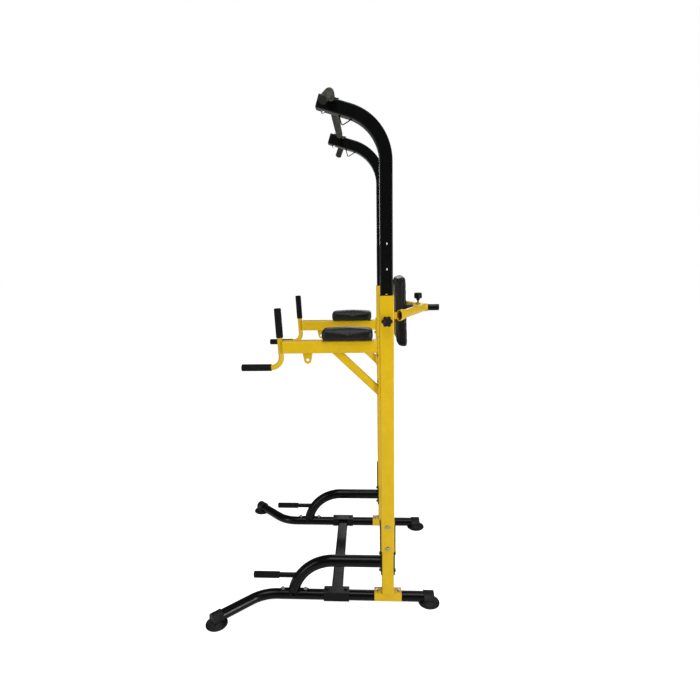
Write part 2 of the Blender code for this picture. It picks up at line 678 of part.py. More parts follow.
# ---------------------------------------------------------------- pull-up bar
def bar_corners():
    """Tips and bend corners of the bar, whose ends droop and lean forward."""
    seat = neck_point(0, BAR_AHEAD, BAR_LIFT)
    droop = Vector((0.0, -sin(BAR_LEAN), -cos(BAR_LEAN)))
    corners = []
    for side in (-1, 1):
        corner = seat + X_AXIS * side * BAR_BEND_X
        tip = corner + (X_AXIS * side * cos(BAR_DROOP) + droop * sin(BAR_DROOP)) * BAR_END_LENGTH
        corners.append((tip, corner))
    return [corners[0][0], corners[0][1], corners[1][1], corners[1][0]]


def bar_plane():
    return X_AXIS.cross(Vector((0.0, -sin(BAR_LEAN), -cos(BAR_LEAN))))


def pull_up_bar():
    path = bent_path(bar_corners(), BAR_BEND_RADIUS, 4)
    first, last = (path[0] - path[1]).normalized(), (path[-1] - path[-2]).normalized()
    void = [path[0] + first * PAST] + path[1:-1] + [path[-1] + last * PAST]
    return weld([sweep(path, bar_plane(), circle(BAR_RADIUS))],
                [sweep(void, bar_plane(), circle(BAR_RADIUS - TUBE_WALL))])


def outer_foam(side):
    """Foam sleeve over a drooping end of the bar."""
    corners = bar_corners()[2:] if side > 0 else bar_corners()[1::-1]
    start = Vector((side * FOAM_OUTER_START, corners[0].y, corners[0].z))
    path = bent_path([start] + corners, BAR_BEND_RADIUS, 4)
    out = (path[-1] - path[-2]).normalized()
    void = [path[0] - X_AXIS * side * PAST] + path[1:-1] + [path[-1] + out * PAST]
    return weld([sweep(path, bar_plane(), circle(BAR_FOAM_RADIUS))],
                [sweep(void, bar_plane(), circle(BAR_RADIUS + GAP))])


def centre_foam():
    seat = neck_point(0, BAR_AHEAD, BAR_LIFT)
    half = X_AXIS * FOAM_CENTRE_HALF
    length, taper, lip = 2 * FOAM_CENTRE_HALF, 0.004, BAR_RADIUS + 0.0012
    profile = [(0, lip), (taper, BAR_FOAM_RADIUS), (length - taper, BAR_FOAM_RADIUS), (length, lip)]
    solid = turned(profile, seat - half, X_AXIS)
    return weld([solid], [rod(seat - half * 1.1, seat + half * 1.1, BAR_RADIUS + GAP)])


def bar_end_cap(side):
    """Plug with a round lip that closes the bar and holds the foam."""
    corners = bar_corners()
    tip, corner = (corners[3], corners[2]) if side > 0 else (corners[0], corners[1])
    out = (tip - corner).normalized()
    stem = BAR_RADIUS - TUBE_WALL - 3 * GAP
    lip = BAR_FOAM_RADIUS + 0.0005
    profile = [(-CAP_DEPTH, stem), (GAP, stem), (GAP, lip), (CAP_LIP, lip), (1.5 * CAP_LIP, lip - CAP_LIP)]
    return turned(profile, tip, out)


# ---------------------------------------------------------------- dip arms
def handle_corners(side):
    """Upright handle, its bend and the forward handle."""
    x = side * FRAME_X
    lean = tan(HANDLE_LEAN)
    top = Vector((x, HANDLE_Y - lean * (HANDLE_TOP_Z - ARM_Z), HANDLE_TOP_Z))
    corner = Vector((x, HANDLE_Y + lean * (ARM_Z - FORWARD_GRIP_Z), FORWARD_GRIP_Z))
    return [top, corner, Vector((x, FORWARD_GRIP_TIP_Y + GRIP_END, FORWARD_GRIP_Z))]


def flange_y():
    """Front face of the upright, as far as the flange of the arm reaches."""
    return -UPRIGHT_WIDTH / 2 - GAP


def arm_tube(x):
    """Square arm, closed at its front end, and its hollow."""
    length = flange_y() - WELD - ARM_FRONT_Y
    solid = plate(square_outline(ARM_WIDTH), 0.0, length, axis=Y_AXIS, centre=(x, ARM_FRONT_Y, ARM_Z))
    void = plate(square_outline(ARM_WIDTH, TUBE_WALL), ARM_END_WALL, length + PAST, axis=Y_AXIS,
                 centre=(x, ARM_FRONT_Y, ARM_Z))
    return solid, void


def arm_strut(x):
    """Sloping square strut from the arm down to the flange, and its hollow."""
    front = Vector((x, STRUT_FRONT_Y, ARM_Z - ARM_WIDTH / 2))
    rear = Vector((x, flange_y(), STRUT_REAR_Z))
    slope = (rear - front).normalized()
    start = front - slope * STRUT_INTO_ARM
    solid = sweep([start, rear - slope * 2 * WELD], X_AXIS, rounded_box(STRUT_WIDTH, STRUT_WIDTH, 0.003))
    inner = STRUT_WIDTH - 2 * TUBE_WALL
    void = sweep([start - slope * PAST, rear + slope * DRILL], X_AXIS, rounded_box(inner, inner, WELD))
    return solid, void


def arm_flange(x):
    """Plate that the arm and its strut are welded to, and a tool that trims it flush."""
    solid = plate(rounded_box(UPRIGHT_WIDTH, FLANGE_TOP - FLANGE_BOTTOM, 0.004), flange_y(),
                  flange_y() - FLANGE_THICKNESS, axis=Y_AXIS, centre=(x, 0, (FLANGE_BOTTOM + FLANGE_TOP) / 2))
    trim = block((x - UPRIGHT_WIDTH, flange_y(), FLANGE_BOTTOM - DRILL),
                 (x + UPRIGHT_WIDTH, 0.0, FLANGE_TOP + DRILL))
    return solid, trim


def strap_eye(x):
    """Tab under the arm with a round lower edge, and its hole."""
    top = ARM_Z - ARM_WIDTH / 2 + WELD - EYE_Z
    half = EYE_WIDTH / 2
    bottom = [(-half * cos(pi * i / 6), -0.8 * half * sin(pi * i / 6)) for i in range(7)]
    solid = plate([(-half, top)] + bottom + [(half, top)], -EYE_THICKNESS / 2, EYE_THICKNESS / 2,
                  axis=X_AXIS, side=Y_AXIS, centre=(x, EYE_Y, EYE_Z))
    return solid, drill((x, EYE_Y, EYE_Z), X_AXIS, EYE_HOLE, 10)


def handle_tube(side):
    """Bent tube that carries both grips of an arm, and its hollow."""
    path = bent_path(handle_corners(side), HANDLE_BEND_RADIUS, 6)
    first, last = (path[0] - path[1]).normalized(), (path[-1] - path[-2]).normalized()
    void_path = [path[0] + first * PAST] + path[1:-1] + [path[-1] + last * PAST]
    hollow = sweep(void_path, X_AXIS, circle(HANDLE_RADIUS - TUBE_WALL))
    return sweep(path, X_AXIS, circle(HANDLE_RADIUS)), hollow


def dip_arm(side):
    """Arm, strut, flange, strap eye and handle tube, welded together."""
    x = side * FRAME_X
    pairs = [arm_tube(x), arm_strut(x), arm_flange(x), strap_eye(x), handle_tube(side)]
    bolt_holes = [drill((x, -DRILL, z), Y_AXIS) for z in FLANGE_BOLT_Z]
    return weld([solid for solid, _ in pairs], [void for _, void in pairs] + bolt_holes)


def arm_bolt(side, z):
    """Short bolt through the flange into the upright's front wall."""
    head_y = flange_y() - FLANGE_THICKNESS - GAP
    return bolt((side * FRAME_X, head_y, z), Y_AXIS, -head_y - POST_WIDTH / 2 - 2 * GAP)


def dip_grip(side, upright_one):
    top, corner, tip = handle_corners(side)
    end, inward = (top, corner - top) if upright_one else (tip, corner - tip)
    inward = inward.normalized()
    length = DIP_GRIP_LENGTHS[0] if upright_one else DIP_GRIP_LENGTHS[1]
    return grip(end - inward * (GRIP_END - GAP), inward, length, GRIP_RADIUS, HANDLE_RADIUS + GAP)


def cushion(size, round_by):
    """Box with well-rounded edges, its middle at the origin."""
    bm = bmesh.new()
    bmesh.ops.create_cube(bm, size=1.0, matrix=Matrix.Diagonal((*size, 1.0)))
    bmesh.ops.bevel(bm, geom=bm.edges[:] + bm.verts[:], offset=round_by, segments=2, profile=0.5,
                    affect="EDGES")
    return new_object("cushion", bm)


def arm_pad(side):
    pad = cushion(ARM_PAD_SIZE, 0.014)
    low = ARM_Z + ARM_WIDTH / 2 + GAP
    pad.data.transform(Matrix.Translation((side * FRAME_X, ARM_PAD_Y, low + ARM_PAD_SIZE[2] / 2)))
    return pad


# ---------------------------------------------------------------- backrest
def backrest_bracket():
    """Bent tube between the uprights, flattened at its ends, with a sleeve at its apex."""
    end_x, end_y = BRACKET_END
    outline = circle(BRACKET_RADIUS)
    hollow = circle(BRACKET_RADIUS - TUBE_WALL)
    solids, voids = [], []
    for side in (1, -1):
        tip = Vector((side * end_x, end_y, BRACKET_Z))
        apex = Vector((side * 0.012, BRACKET_APEX_Y - 0.005, BRACKET_Z))
        path = [apex, tip.lerp(apex, 0.22), tip.lerp(apex, 0.08), tip]
        squash = [(1.0, 1.0), (1.0, 1.0), (1.26, 0.70), (1.26, 0.70)]
        solids.append(sweep(path, Z_AXIS, outline, squash))
        out = (tip - apex).normalized()
        voids.append(sweep([tip.lerp(apex, 0.97)] + path[1:-1] + [tip + out * 0.01], Z_AXIS, hollow, squash))
        rear = UPRIGHT_WIDTH / 2 + GAP
        solids.append(block((side * (end_x - 0.011), rear, BRACKET_Z - BRACKET_BOSS),
                            (side * (end_x + 0.003), end_y - 0.010, BRACKET_Z + BRACKET_BOSS)))
    low, high = SLEEVE_SPAN
    solids.append(rod((0, low, BRACKET_Z), (0, high, BRACKET_Z), SLIDE_RADIUS + BRACKET_SLEEVE_WALL))
    top = bracket_boss_top()
    solids.append(rod((0, BACK_KNOB_Y, BRACKET_Z), (0, BACK_KNOB_Y, top), 0.009))
    voids.append(rod((0, low - DRILL, BRACKET_Z), (0, high + DRILL, BRACKET_Z), SLIDE_RADIUS + GAP))
    voids.append(rod((0, BACK_KNOB_Y, BRACKET_Z), (0, BACK_KNOB_Y, top + PAST), BOLT_HOLE, SMALL_SIDES))
    return weld(solids, voids)


def bracket_boss_top():
    return BRACKET_Z + SLIDE_RADIUS + 0.009


def pad_back_y():
    return PAD_Y + PAD_SIZE[1] / 2 / cos(PAD_TILT) + GAP


def backrest_slide():
    """Round slide tube, welded to the plate that carries the pad."""
    front = pad_back_y() + 0.0010
    back = front + PLATE_THICKNESS
    base = plate(rounded_box(0.110, 0.070, 0.008), front, back, axis=Y_AXIS, centre=(0, 0, BRACKET_Z))
    tube = rod((0, back - WELD, BRACKET_Z), (0, SLIDE_REAR_Y, BRACKET_Z), SLIDE_RADIUS)
    void = rod((0, back + WELD, BRACKET_Z), (0, SLIDE_REAR_Y + PAST, BRACKET_Z), SLIDE_RADIUS - TUBE_WALL)
    return weld([base, tube], [void])


def backrest_slide_cap():
    stem = SLIDE_RADIUS - TUBE_WALL - GAP
    profile = [(-CAP_DEPTH, stem), (GAP, stem), (GAP, SLIDE_RADIUS), (SLIDE_CAP - 0.001, SLIDE_RADIUS),
               (SLIDE_CAP, SLIDE_RADIUS - 0.001)]
    return turned(profile, (0, SLIDE_REAR_Y, BRACKET_Z), Y_AXIS)


def backrest_pad():
    pad = cushion(PAD_SIZE, 0.012)
    pad.data.transform(Matrix.Translation((0, PAD_Y, PAD_Z)) @ Matrix.Rotation(PAD_TILT, 4, "X"))
    return pad


def backrest_knob():
    """Clamping knob on its screw. The screw's end stops clear of the slide tube."""
    low, seat = BRACKET_Z + SLIDE_RADIUS + 2 * GAP, bracket_boss_top() + 0.010
    screw = rod((0, BACK_KNOB_Y, low), (0, BACK_KNOB_Y, seat + 0.010), BOLT_RADIUS, SMALL_SIDES)
    body = star_knob((0, BACK_KNOB_Y, seat), Z_AXIS, BACK_KNOB_SIZE[1], BACK_KNOB_SIZE[0])
    return weld([body, screw])


# ---------------------------------------------------------------- assembly
def build_sides(tower, materials):
    """Every piece that the tower has once on each side. Left is +X."""
    yellow, black, zinc = materials["yellow"], materials["black"], materials["zinc"]
    rubber, foam, plastic = materials["rubber"], materials["foam"], materials["plastic"]
    for label, side in (("left", 1), ("right", -1)):
        x = side * FRAME_X
        pin = (side * (FRAME_X + UPRIGHT_WIDTH / 2), 0, PIN_Z)
        pieces = [
            ("base_rail", base_rail(side), black, (x, 0, RAIL_Z)),
            ("foot_rear", rear_foot(side), rubber, (x, REAR_FOOT_Y, 0)),
            ("foot_front", front_foot(side), rubber, (side * FRONT_FOOT_X, FRONT_FOOT_Y, 0)),
            ("base_post", base_post(side), yellow, (x, 0, RAIL_Z)),
            ("curved_brace", curved_brace(side), black, (x, 0, BRACE_Z)),
            ("brace_clamp", brace_clamp(side), black, (x, 0, BRACE_Z)),
            ("push_up_grip", push_up_grip(side), foam, (x, PUSH_UP_TIP_Y, PUSH_UP_Z)),
            ("upright", upright(side), yellow, (x, 0, UPRIGHT_BOTTOM)),
            ("post_bushing", post_bushing(side), plastic, (x, 0, UPRIGHT_TOP)),
            ("dip_arm", dip_arm(side), yellow, (x, 0, ARM_Z)),
            ("dip_grip_upright", dip_grip(side, True), foam, (x, HANDLE_Y, HANDLE_TOP_Z)),
            ("dip_grip_forward", dip_grip(side, False), foam, (x, FORWARD_GRIP_TIP_Y, FORWARD_GRIP_Z)),
            ("arm_pad", arm_pad(side), materials["vinyl"], (x, ARM_PAD_Y, ARM_Z)),
            ("gooseneck", gooseneck(side), black, (x, 0, POST_BOTTOM)),
            ("gooseneck_cap", gooseneck_cap(side), plastic, (x, 0, NECK_START_Z)),
            ("bar_clamp", bar_clamp(side), black, (x, 0, NECK_START_Z)),
            ("bar_bolt", bar_bolt(side), zinc, (x, 0, NECK_START_Z)),
            ("hook_loop", hook_loop(side), black, (x, 0, NECK_START_Z)),
            ("bar_foam_outer", outer_foam(side), foam, (x, 0, NECK_START_Z)),
            ("bar_end_cap", bar_end_cap(side), plastic, (x, 0, NECK_START_Z)),
            ("height_pin", height_pin(side), zinc, pin),
            ("height_knob", height_knob(side), plastic, pin),
            ("upright_bolt_lower", upright_bolt(side, UPRIGHT_BOLT_Z[0]), zinc, (x, 0, UPRIGHT_BOLT_Z[0])),
            ("upright_bolt_upper", upright_bolt(side, UPRIGHT_BOLT_Z[1]), zinc, (x, 0, UPRIGHT_BOLT_Z[1])),
            ("arm_bolt_lower", arm_bolt(side, FLANGE_BOLT_Z[0]), zinc, (x, 0, FLANGE_BOLT_Z[0])),
            ("arm_bolt_upper", arm_bolt(side, FLANGE_BOLT_Z[1]), zinc, (x, 0, FLANGE_BOLT_Z[1])),
        ]
        for name, piece, material, origin in pieces:
            place(f"{name}_{label}", piece, material, origin, tower)


def build_middle(tower, materials):
    """The pieces that the tower has once."""
    seat = neck_point(0, BAR_AHEAD, BAR_LIFT)
    knob = (0, BACK_KNOB_Y, BRACKET_Z)
    pieces = [
        ("crossbar", crossbar(), materials["black"], (0, CROSSBAR_Y, RAIL_Z)),
        ("pull_up_bar", pull_up_bar(), materials["black"], seat),
        ("bar_foam_centre", centre_foam(), materials["foam"], seat),
        ("backrest_bracket", backrest_bracket(), materials["yellow"], (0, BRACKET_APEX_Y, BRACKET_Z)),
        ("backrest_slide", backrest_slide(), materials["black"], (0, SLIDE_REAR_Y, BRACKET_Z)),
        ("backrest_slide_cap", backrest_slide_cap(), materials["plastic"], (0, SLIDE_REAR_Y, BRACKET_Z)),
        ("backrest_pad", backrest_pad(), materials["vinyl"], (0, PAD_Y, PAD_Z)),
        ("backrest_knob", backrest_knob(), materials["plastic"], knob),
    ]
    for name, piece, material, origin in pieces:
        place(name, piece, material, origin, tower)


def main():
    for obj in list(bpy.data.objects):
        bpy.data.objects.remove(obj)
    tower = bpy.data.objects.new("tower", None)
    tower.location = (0.0, UPRIGHT_Y, 0.0)
    bpy.context.scene.collection.objects.link(tower)
    materials = make_materials()
    build_sides(tower, materials)
    build_middle(tower, materials)


main()
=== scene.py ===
from math import atan2, cos, pi, radians, sin, sqrt, tan

import bmesh
import bpy
from mathutils import Matrix, Vector, noise


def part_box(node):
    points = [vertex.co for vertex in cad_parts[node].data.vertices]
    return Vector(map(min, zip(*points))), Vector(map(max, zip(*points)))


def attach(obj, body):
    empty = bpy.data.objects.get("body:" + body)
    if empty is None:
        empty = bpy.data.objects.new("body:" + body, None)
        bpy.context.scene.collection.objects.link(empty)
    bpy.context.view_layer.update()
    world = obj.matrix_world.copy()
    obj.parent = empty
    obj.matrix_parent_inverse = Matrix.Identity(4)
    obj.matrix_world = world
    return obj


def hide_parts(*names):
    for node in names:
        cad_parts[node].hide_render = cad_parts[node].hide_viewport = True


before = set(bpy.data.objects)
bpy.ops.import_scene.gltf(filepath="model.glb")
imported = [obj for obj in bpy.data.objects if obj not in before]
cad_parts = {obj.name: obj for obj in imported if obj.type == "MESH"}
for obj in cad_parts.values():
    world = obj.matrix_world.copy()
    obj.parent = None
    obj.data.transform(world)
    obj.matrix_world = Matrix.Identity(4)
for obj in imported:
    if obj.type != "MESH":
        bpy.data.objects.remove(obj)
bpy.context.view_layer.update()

X_AXIS = Vector((1.0, 0.0, 0.0))
Y_AXIS = Vector((0.0, 1.0, 0.0))
Z_AXIS = Vector((0.0, 0.0, 1.0))
SIDES = (("left", 1), ("right", -1))


def middle(node):
    low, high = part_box(node)
    return (low + high) / 2


def size(node):
    low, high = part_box(node)
    return high - low


# ---------------------------------------------------------------- layout
FRAME_X = middle("post_bushing_left").x
TOWER_Y = middle("post_bushing_left").y
UPRIGHT_WIDTH = size("upright_left").y
UPRIGHT_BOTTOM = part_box("upright_left")[0].z
UPRIGHT_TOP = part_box("upright_left")[1].z
UPRIGHT_WALL = 0.00235
POST_WIDTH = size("gooseneck_left").x
POST_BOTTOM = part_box("gooseneck_left")[0].z
BASE_POST_WIDTH = 0.052
BASE_POST_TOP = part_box("base_post_left")[1].z
TUBE_WALL = 0.002
TUBE_CORNER = 0.0055
GAP = 0.0003
LEAST_RADIUS = 0.00005
BEAD_SIDES = 8
LEAST_STATIONS = 24
SHARP_ANGLE = radians(38.0)

RAIL_Z = middle("base_rail_left").z
RAIL_RADIUS = size("base_rail_left").z / 2
RAIL_REAR_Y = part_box("base_rail_left")[1].y - TOWER_Y
FOOT_RADIUS = size("foot_front_left").x / 2
FRONT_FOOT = middle("foot_front_left")
REAR_FOOT = middle("foot_rear_left")
LEG_SPLAY = radians(43.0)
LEG_BEND_RADIUS = 0.16
LEG_OVERHANG = 0.016
SLEEVE_RADIUS = 0.026
SLEEVE_LENGTH = 0.045
SADDLE_THICKNESS = 0.003
SADDLE_LENGTH = size("base_post_left").y
SADDLE_DROP = 0.034
SADDLE_BOLT_Y = 0.048
CROSSBAR_Y = middle("crossbar").y - TOWER_Y
CROSSBAR_SADDLE_LENGTH = size("crossbar").y
CROSSBAR_WIDTH = 0.050
CROSSBAR_HEIGHT = 0.025
CROSSBAR_SADDLE_DROP = 0.040
CROSSBAR_BOLT_SPREAD = 0.042

BRACE_RADIUS = 0.025
BRACE_Z = 0.195
BRACE_BEND_RADIUS = 0.1854
BRACE_TURN = radians(75.5)
BRACE_FOOT_Y = -0.415
BRACE_SADDLE_LENGTH = 0.124
BRACE_BOLT_SPREAD = 0.040
BRACE_FOOT_BOLTS = (-0.466, -0.364)
PLATE_HEIGHT = 0.102
PLATE_THICKNESS = 0.004
TONGUE_WIDTH = 0.048
TONGUE_SPAN = (0.244, 0.380)
TONGUE_THICKNESS = 0.0042
PUSH_UP_Z = middle("push_up_grip_left").z
PUSH_UP_TIP_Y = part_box("push_up_grip_left")[0].y - TOWER_Y
PUSH_UP_ROOT_Y = -0.385
HANDLE_RADIUS = 0.011
GRIP_RADIUS = size("push_up_grip_left").z / 2
GRIP_END = 0.005

PIN_Z = middle("height_pin_left").z
HOLE_PITCH = 0.100
HOLE_RADIUS = 0.006
HOLES = range(-2, 4)
NECK_BEND_RADIUS = 0.195
NECK_START_Z = 1.863
NECK_TURN = radians(72.1)
NECK_END_LENGTH = 0.1232
BAR_RADIUS = 0.0125
BAR_FOAM_RADIUS = 0.0155
BAR_AHEAD = 0.0720
BAR_LIFT = 0.0120
BAR_BEND_X = 0.440
BAR_DROOP = radians(44.0)
BAR_LEAN = radians(28.0)
BAR_BEND_RADIUS = 0.040
BAR_END_LENGTH = 0.064
FOAM_CENTRE_HALF = size("bar_foam_centre").x / 2
FOAM_OUTER_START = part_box("bar_foam_outer_left")[0].x
CLAMP_BOLT_AHEAD = 0.0245
CLAMP_SPAN = (-0.022, 0.036)
CLAMP_WIDTH = size("bar_clamp_left").x
LOOP_WIRE = 0.0022
LOOP_SPAN = (-0.0135, 0.0325)
LOOP_SAG = 0.0008
LOOP_DEPTH = 0.028

ARM_WIDTH = 0.050
ARM_Z = 1.152
ARM_FRONT_Y = -0.4215
STRUT_WIDTH = 0.030
STRUT_FRONT_Y = -0.2005
STRUT_REAR_Z = 0.965
FLANGE_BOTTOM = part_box("dip_arm_left")[0].z
FLANGE_TOP = 1.187
FLANGE_THICKNESS = 0.005
EYE_Y = -0.322
EYE_Z = 1.096
EYE_WIDTH = 0.040
EYE_THICKNESS = 0.005
EYE_HOLE_RADIUS = 0.006
HANDLE_TOP_Z = 1.305
HANDLE_Y = -0.4330
HANDLE_LEAN = radians(2.4)
HANDLE_BEND_RADIUS = 0.043
FORWARD_GRIP_Z = middle("dip_grip_forward_left").z
FORWARD_GRIP_TIP_Y = -0.598
DIP_GRIP_LENGTHS = (0.120, 0.124)

BRACKET_Z = middle("backrest_slide").z
BRACKET_RADIUS = 0.018
BRACKET_END = (0.293, 0.052)
BRACKET_APEX_Y = 0.180
BRACKET_SLEEVE = (0.132, 0.199)
SLIDE_RADIUS = size("backrest_slide_cap").x / 2
SLEEVE_BORE = SLIDE_RADIUS + 0.0004
SLEEVE_OUTSIDE = SLIDE_RADIUS + 0.0034
SLIDE_REAR_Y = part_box("backrest_slide")[1].y - TOWER_Y
BACK_KNOB_Y = middle("backrest_knob").y - TOWER_Y
PAD_TILT = radians(1.5)
BACK_PAD_SIZE = Vector((0.240, 0.311, 0.042))
SWELL = 0.0014
BOARD_DEPTH = 0.006
SWELL_FRAMES = 20


def at(x, y, z):
    """Point given from the middle of the foot of the uprights."""
    return Vector((x, y + TOWER_Y, z))


# ---------------------------------------------------------------- materials
class Nodes:
    """Short way to wire a material's nodes."""

    def __init__(self, name):
        self.material = bpy.data.materials.new(name)
        self.material.use_nodes = True
        self.tree = self.material.node_tree
        self.shader = self.tree.nodes["Principled BSDF"]
        self.place = self.tree.nodes.new("ShaderNodeTexCoord").outputs["Object"]

    def link(self, source, target):
        self.tree.links.new(source, target)

    def noise(self, scale, detail=3.0, roughness=0.5):
        node = self.tree.nodes.new("ShaderNodeTexNoise")
        node.inputs["Scale"].default_value = scale
        node.inputs["Detail"].default_value = detail
        node.inputs["Roughness"].default_value = roughness
        self.link(self.place, node.inputs["Vector"])
        return node.outputs["Fac"]

    def cells(self, scale, feature="F1"):
        node = self.tree.nodes.new("ShaderNodeTexVoronoi")
        node.feature = feature
        node.inputs["Scale"].default_value = scale
        self.link(self.place, node.inputs["Vector"])
        return node.outputs["Distance"]

    def paint(self, value, *stops):
        """Base colour that follows a value through stops of (position, colour)."""
        node = self.tree.nodes.new("ShaderNodeValToRGB")
        for element, (position, colour) in zip(node.color_ramp.elements, (stops[0], stops[-1])):
            element.position = position
            element.color = (*colour, 1.0)
        for position, colour in stops[1:-1]:
            node.color_ramp.elements.new(position).color = (*colour, 1.0)
        self.link(value, node.inputs["Fac"])
        self.link(node.outputs["Color"], self.shader.inputs["Base Color"])

    def spread(self, value, low, high, start=0.3, end=0.7):
        """Maps start..end of a value to low..high."""
        node = self.tree.nodes.new("ShaderNodeMapRange")
        for key, number in (("From Min", start), ("From Max", end), ("To Min", low), ("To Max", high)):
            node.inputs[key].default_value = number
        self.link(value, node.inputs["Value"])
        return node.outputs["Result"]

    def total(self, first, second, weight):
        """first plus weight times second."""
        node = self.tree.nodes.new("ShaderNodeMath")
        node.operation = "MULTIPLY_ADD"
        self.link(second, node.inputs[0])
        node.inputs[1].default_value = weight
        self.link(first, node.inputs[2])
        return node.outputs["Value"]

    def bump(self, height, strength, distance):
        node = self.tree.nodes.new("ShaderNodeBump")
        node.inputs["Strength"].default_value = strength
        node.inputs["Distance"].default_value = distance
        self.link(height, node.inputs["Height"])
        self.link(node.outputs["Normal"], self.shader.inputs["Normal"])

    def set(self, **values):
        for key, value in values.items():
            self.shader.inputs[key.replace("_", " ").title().replace("Ior", "IOR")].default_value = value
        return self


def powder_coat(name, shade, bright, roughness, coat, gloss):
    """Sprayed and baked paint: orange peel, a little mottling and a clear gloss."""
    nodes = Nodes(name)
    mottle = nodes.noise(22.0, 4.0)
    nodes.paint(mottle, (0.30, shade), (0.70, bright))
    nodes.link(nodes.spread(nodes.noise(60.0, 5.0), roughness - 0.05, roughness + 0.07),
               nodes.shader.inputs["Roughness"])
    peel = nodes.total(nodes.noise(420.0, 2.0), nodes.noise(1500.0, 1.0), 0.25)
    nodes.bump(peel, 0.018, 0.0003)
    return nodes.set(coat_weight=coat, coat_roughness=0.15, specular_ior_level=gloss).material


def moulded_rubber():
    nodes = Nodes("moulded_rubber")
    dust = nodes.noise(35.0, 6.0, 0.65)
    nodes.paint(dust, (0.32, (0.0025, 0.003, 0.003)), (0.75, (0.008, 0.009, 0.0088)))
    nodes.link(nodes.spread(dust, 0.50, 0.72), nodes.shader.inputs["Roughness"])
    nodes.bump(nodes.noise(900.0, 3.0), 0.30, 0.0004)
    return nodes.set(specular_ior_level=0.25).material


def closed_cell_foam(name, dark, mid, light):
    """Skinned foam: fine pores and a cloudy colour."""
    nodes = Nodes(name)
    cloud = nodes.total(nodes.noise(48.0, 6.0, 0.7), nodes.noise(240.0, 2.0), 0.35)
    nodes.paint(cloud, (0.45, dark), (0.66, mid), (0.86, light))
    nodes.link(nodes.spread(cloud, 0.72, 0.92, 0.4, 0.9), nodes.shader.inputs["Roughness"])
    pores = nodes.total(nodes.noise(300.0, 3.0), nodes.cells(1100.0), -0.6)
    nodes.bump(pores, 0.55, 0.0006)
    return nodes.set(sheen_weight=0.02, sheen_roughness=0.5, specular_ior_level=0.12).material


def grained_vinyl():
    """Upholstery vinyl: pebble grain with fine creases between the pebbles."""
    nodes = Nodes("grained_vinyl")
    pebbles = nodes.cells(430.0, "DISTANCE_TO_EDGE")
    cloud = nodes.noise(14.0, 5.0, 0.6)
    nodes.paint(cloud, (0.30, (0.0022, 0.0022, 0.0022)), (0.72, (0.0050, 0.0050, 0.0048)))
    nodes.link(nodes.spread(cloud, 0.30, 0.42), nodes.shader.inputs["Roughness"])
    grain = nodes.total(nodes.noise(140.0, 4.0), nodes.spread(pebbles, 0.0, 1.0, 0.0, 0.16), 0.8)
    nodes.bump(grain, 0.32, 0.0006)
    return nodes.set(specular_ior_level=0.26).material


def moulded_plastic():
    nodes = Nodes("moulded_plastic")
    tone = nodes.noise(30.0, 4.0)
    nodes.paint(tone, (0.30, (0.005, 0.005, 0.0055)), (0.72, (0.010, 0.010, 0.0105)))
    nodes.link(nodes.spread(nodes.noise(80.0, 4.0), 0.34, 0.48), nodes.shader.inputs["Roughness"])
    nodes.bump(nodes.cells(1500.0), 0.10, 0.0003)
    return nodes.set(specular_ior_level=0.2).material


def zinc():
    """Passivated zinc: bright, with a faint yellow and blue cast and fine brush marks."""
    nodes = Nodes("zinc_plated_steel")
    cast = nodes.noise(180.0, 4.0)
    nodes.paint(cast, (0.30, (0.30, 0.31, 0.32)), (0.55, (0.40, 0.40, 0.39)), (0.75, (0.44, 0.40, 0.31)))
    nodes.link(nodes.spread(nodes.noise(600.0, 3.0), 0.22, 0.40), nodes.shader.inputs["Roughness"])
    nodes.bump(nodes.noise(2200.0, 1.0), 0.10, 0.0002)
    return nodes.set(metallic=1.0).material


def shadow_floor():
    nodes = Nodes("studio_floor")
    nodes.paint(nodes.noise(3.0, 4.0), (0.3, (0.60, 0.60, 0.60)), (0.7, (0.64, 0.64, 0.64)))
    nodes.shader.inputs["Emission Color"].default_value = (1.0, 1.0, 1.0, 1.0)
    path = nodes.tree.nodes.new("ShaderNodeLightPath").outputs["Is Camera Ray"]
    glow = nodes.spread(path, FLOOR_LEVEL, FLOOR_SEEN, 0.0, 1.0)
    nodes.link(glow, nodes.shader.inputs["Emission Strength"])
    return nodes.set(roughness=0.85, specular_ior_level=0.1).material


# Brightness of the floor as a source of light, and to the camera.
FLOOR_LEVEL = 0.30
FLOOR_SEEN = 0.9
YELLOW = powder_coat("yellow_powder_coat", (0.62, 0.395, 0.0012), (0.68, 0.435, 0.0020), 0.32, 0.08, 0.26)
BLACK = powder_coat("black_powder_coat", (0.0010, 0.0012, 0.0012), (0.0018, 0.0021, 0.0020), 0.22, 0.06, 0.13)
RUBBER = moulded_rubber()
HANDLE_FOAM = closed_cell_foam("handle_foam", (0.002, 0.002, 0.002), (0.004, 0.004, 0.004),
                               (0.010, 0.010, 0.010))
BAR_FOAM = closed_cell_foam("bar_foam", (0.010, 0.010, 0.008), (0.036, 0.036, 0.029), (0.095, 0.088, 0.076))
VINYL = grained_vinyl()
PLASTIC = moulded_plastic()
ZINC = zinc()


# ---------------------------------------------------------------- outlines and paths
def circle(radius, sides=48):
    return [(radius * cos(2 * pi * i / sides), radius * sin(2 * pi * i / sides)) for i in range(sides)]


def rounded_box(width, height, corner, steps=6):
    points = []
    for quarter in range(4):
        sx = 1 if quarter in (0, 3) else -1
        sy = 1 if quarter < 2 else -1
        for step in range(steps + 1):
            angle = (quarter + step / steps) * pi / 2
            points.append((sx * (width / 2 - corner) + corner * cos(angle),
                           sy * (height / 2 - corner) + corner * sin(angle)))
    return points


def round_lip(radius, lip):
    """Profile points of a quarter round at the start of a turned piece."""
    return [(lip * (1 - cos(a * pi / 12)), radius - lip * (1 - sin(a * pi / 12))) for a in range(7)]


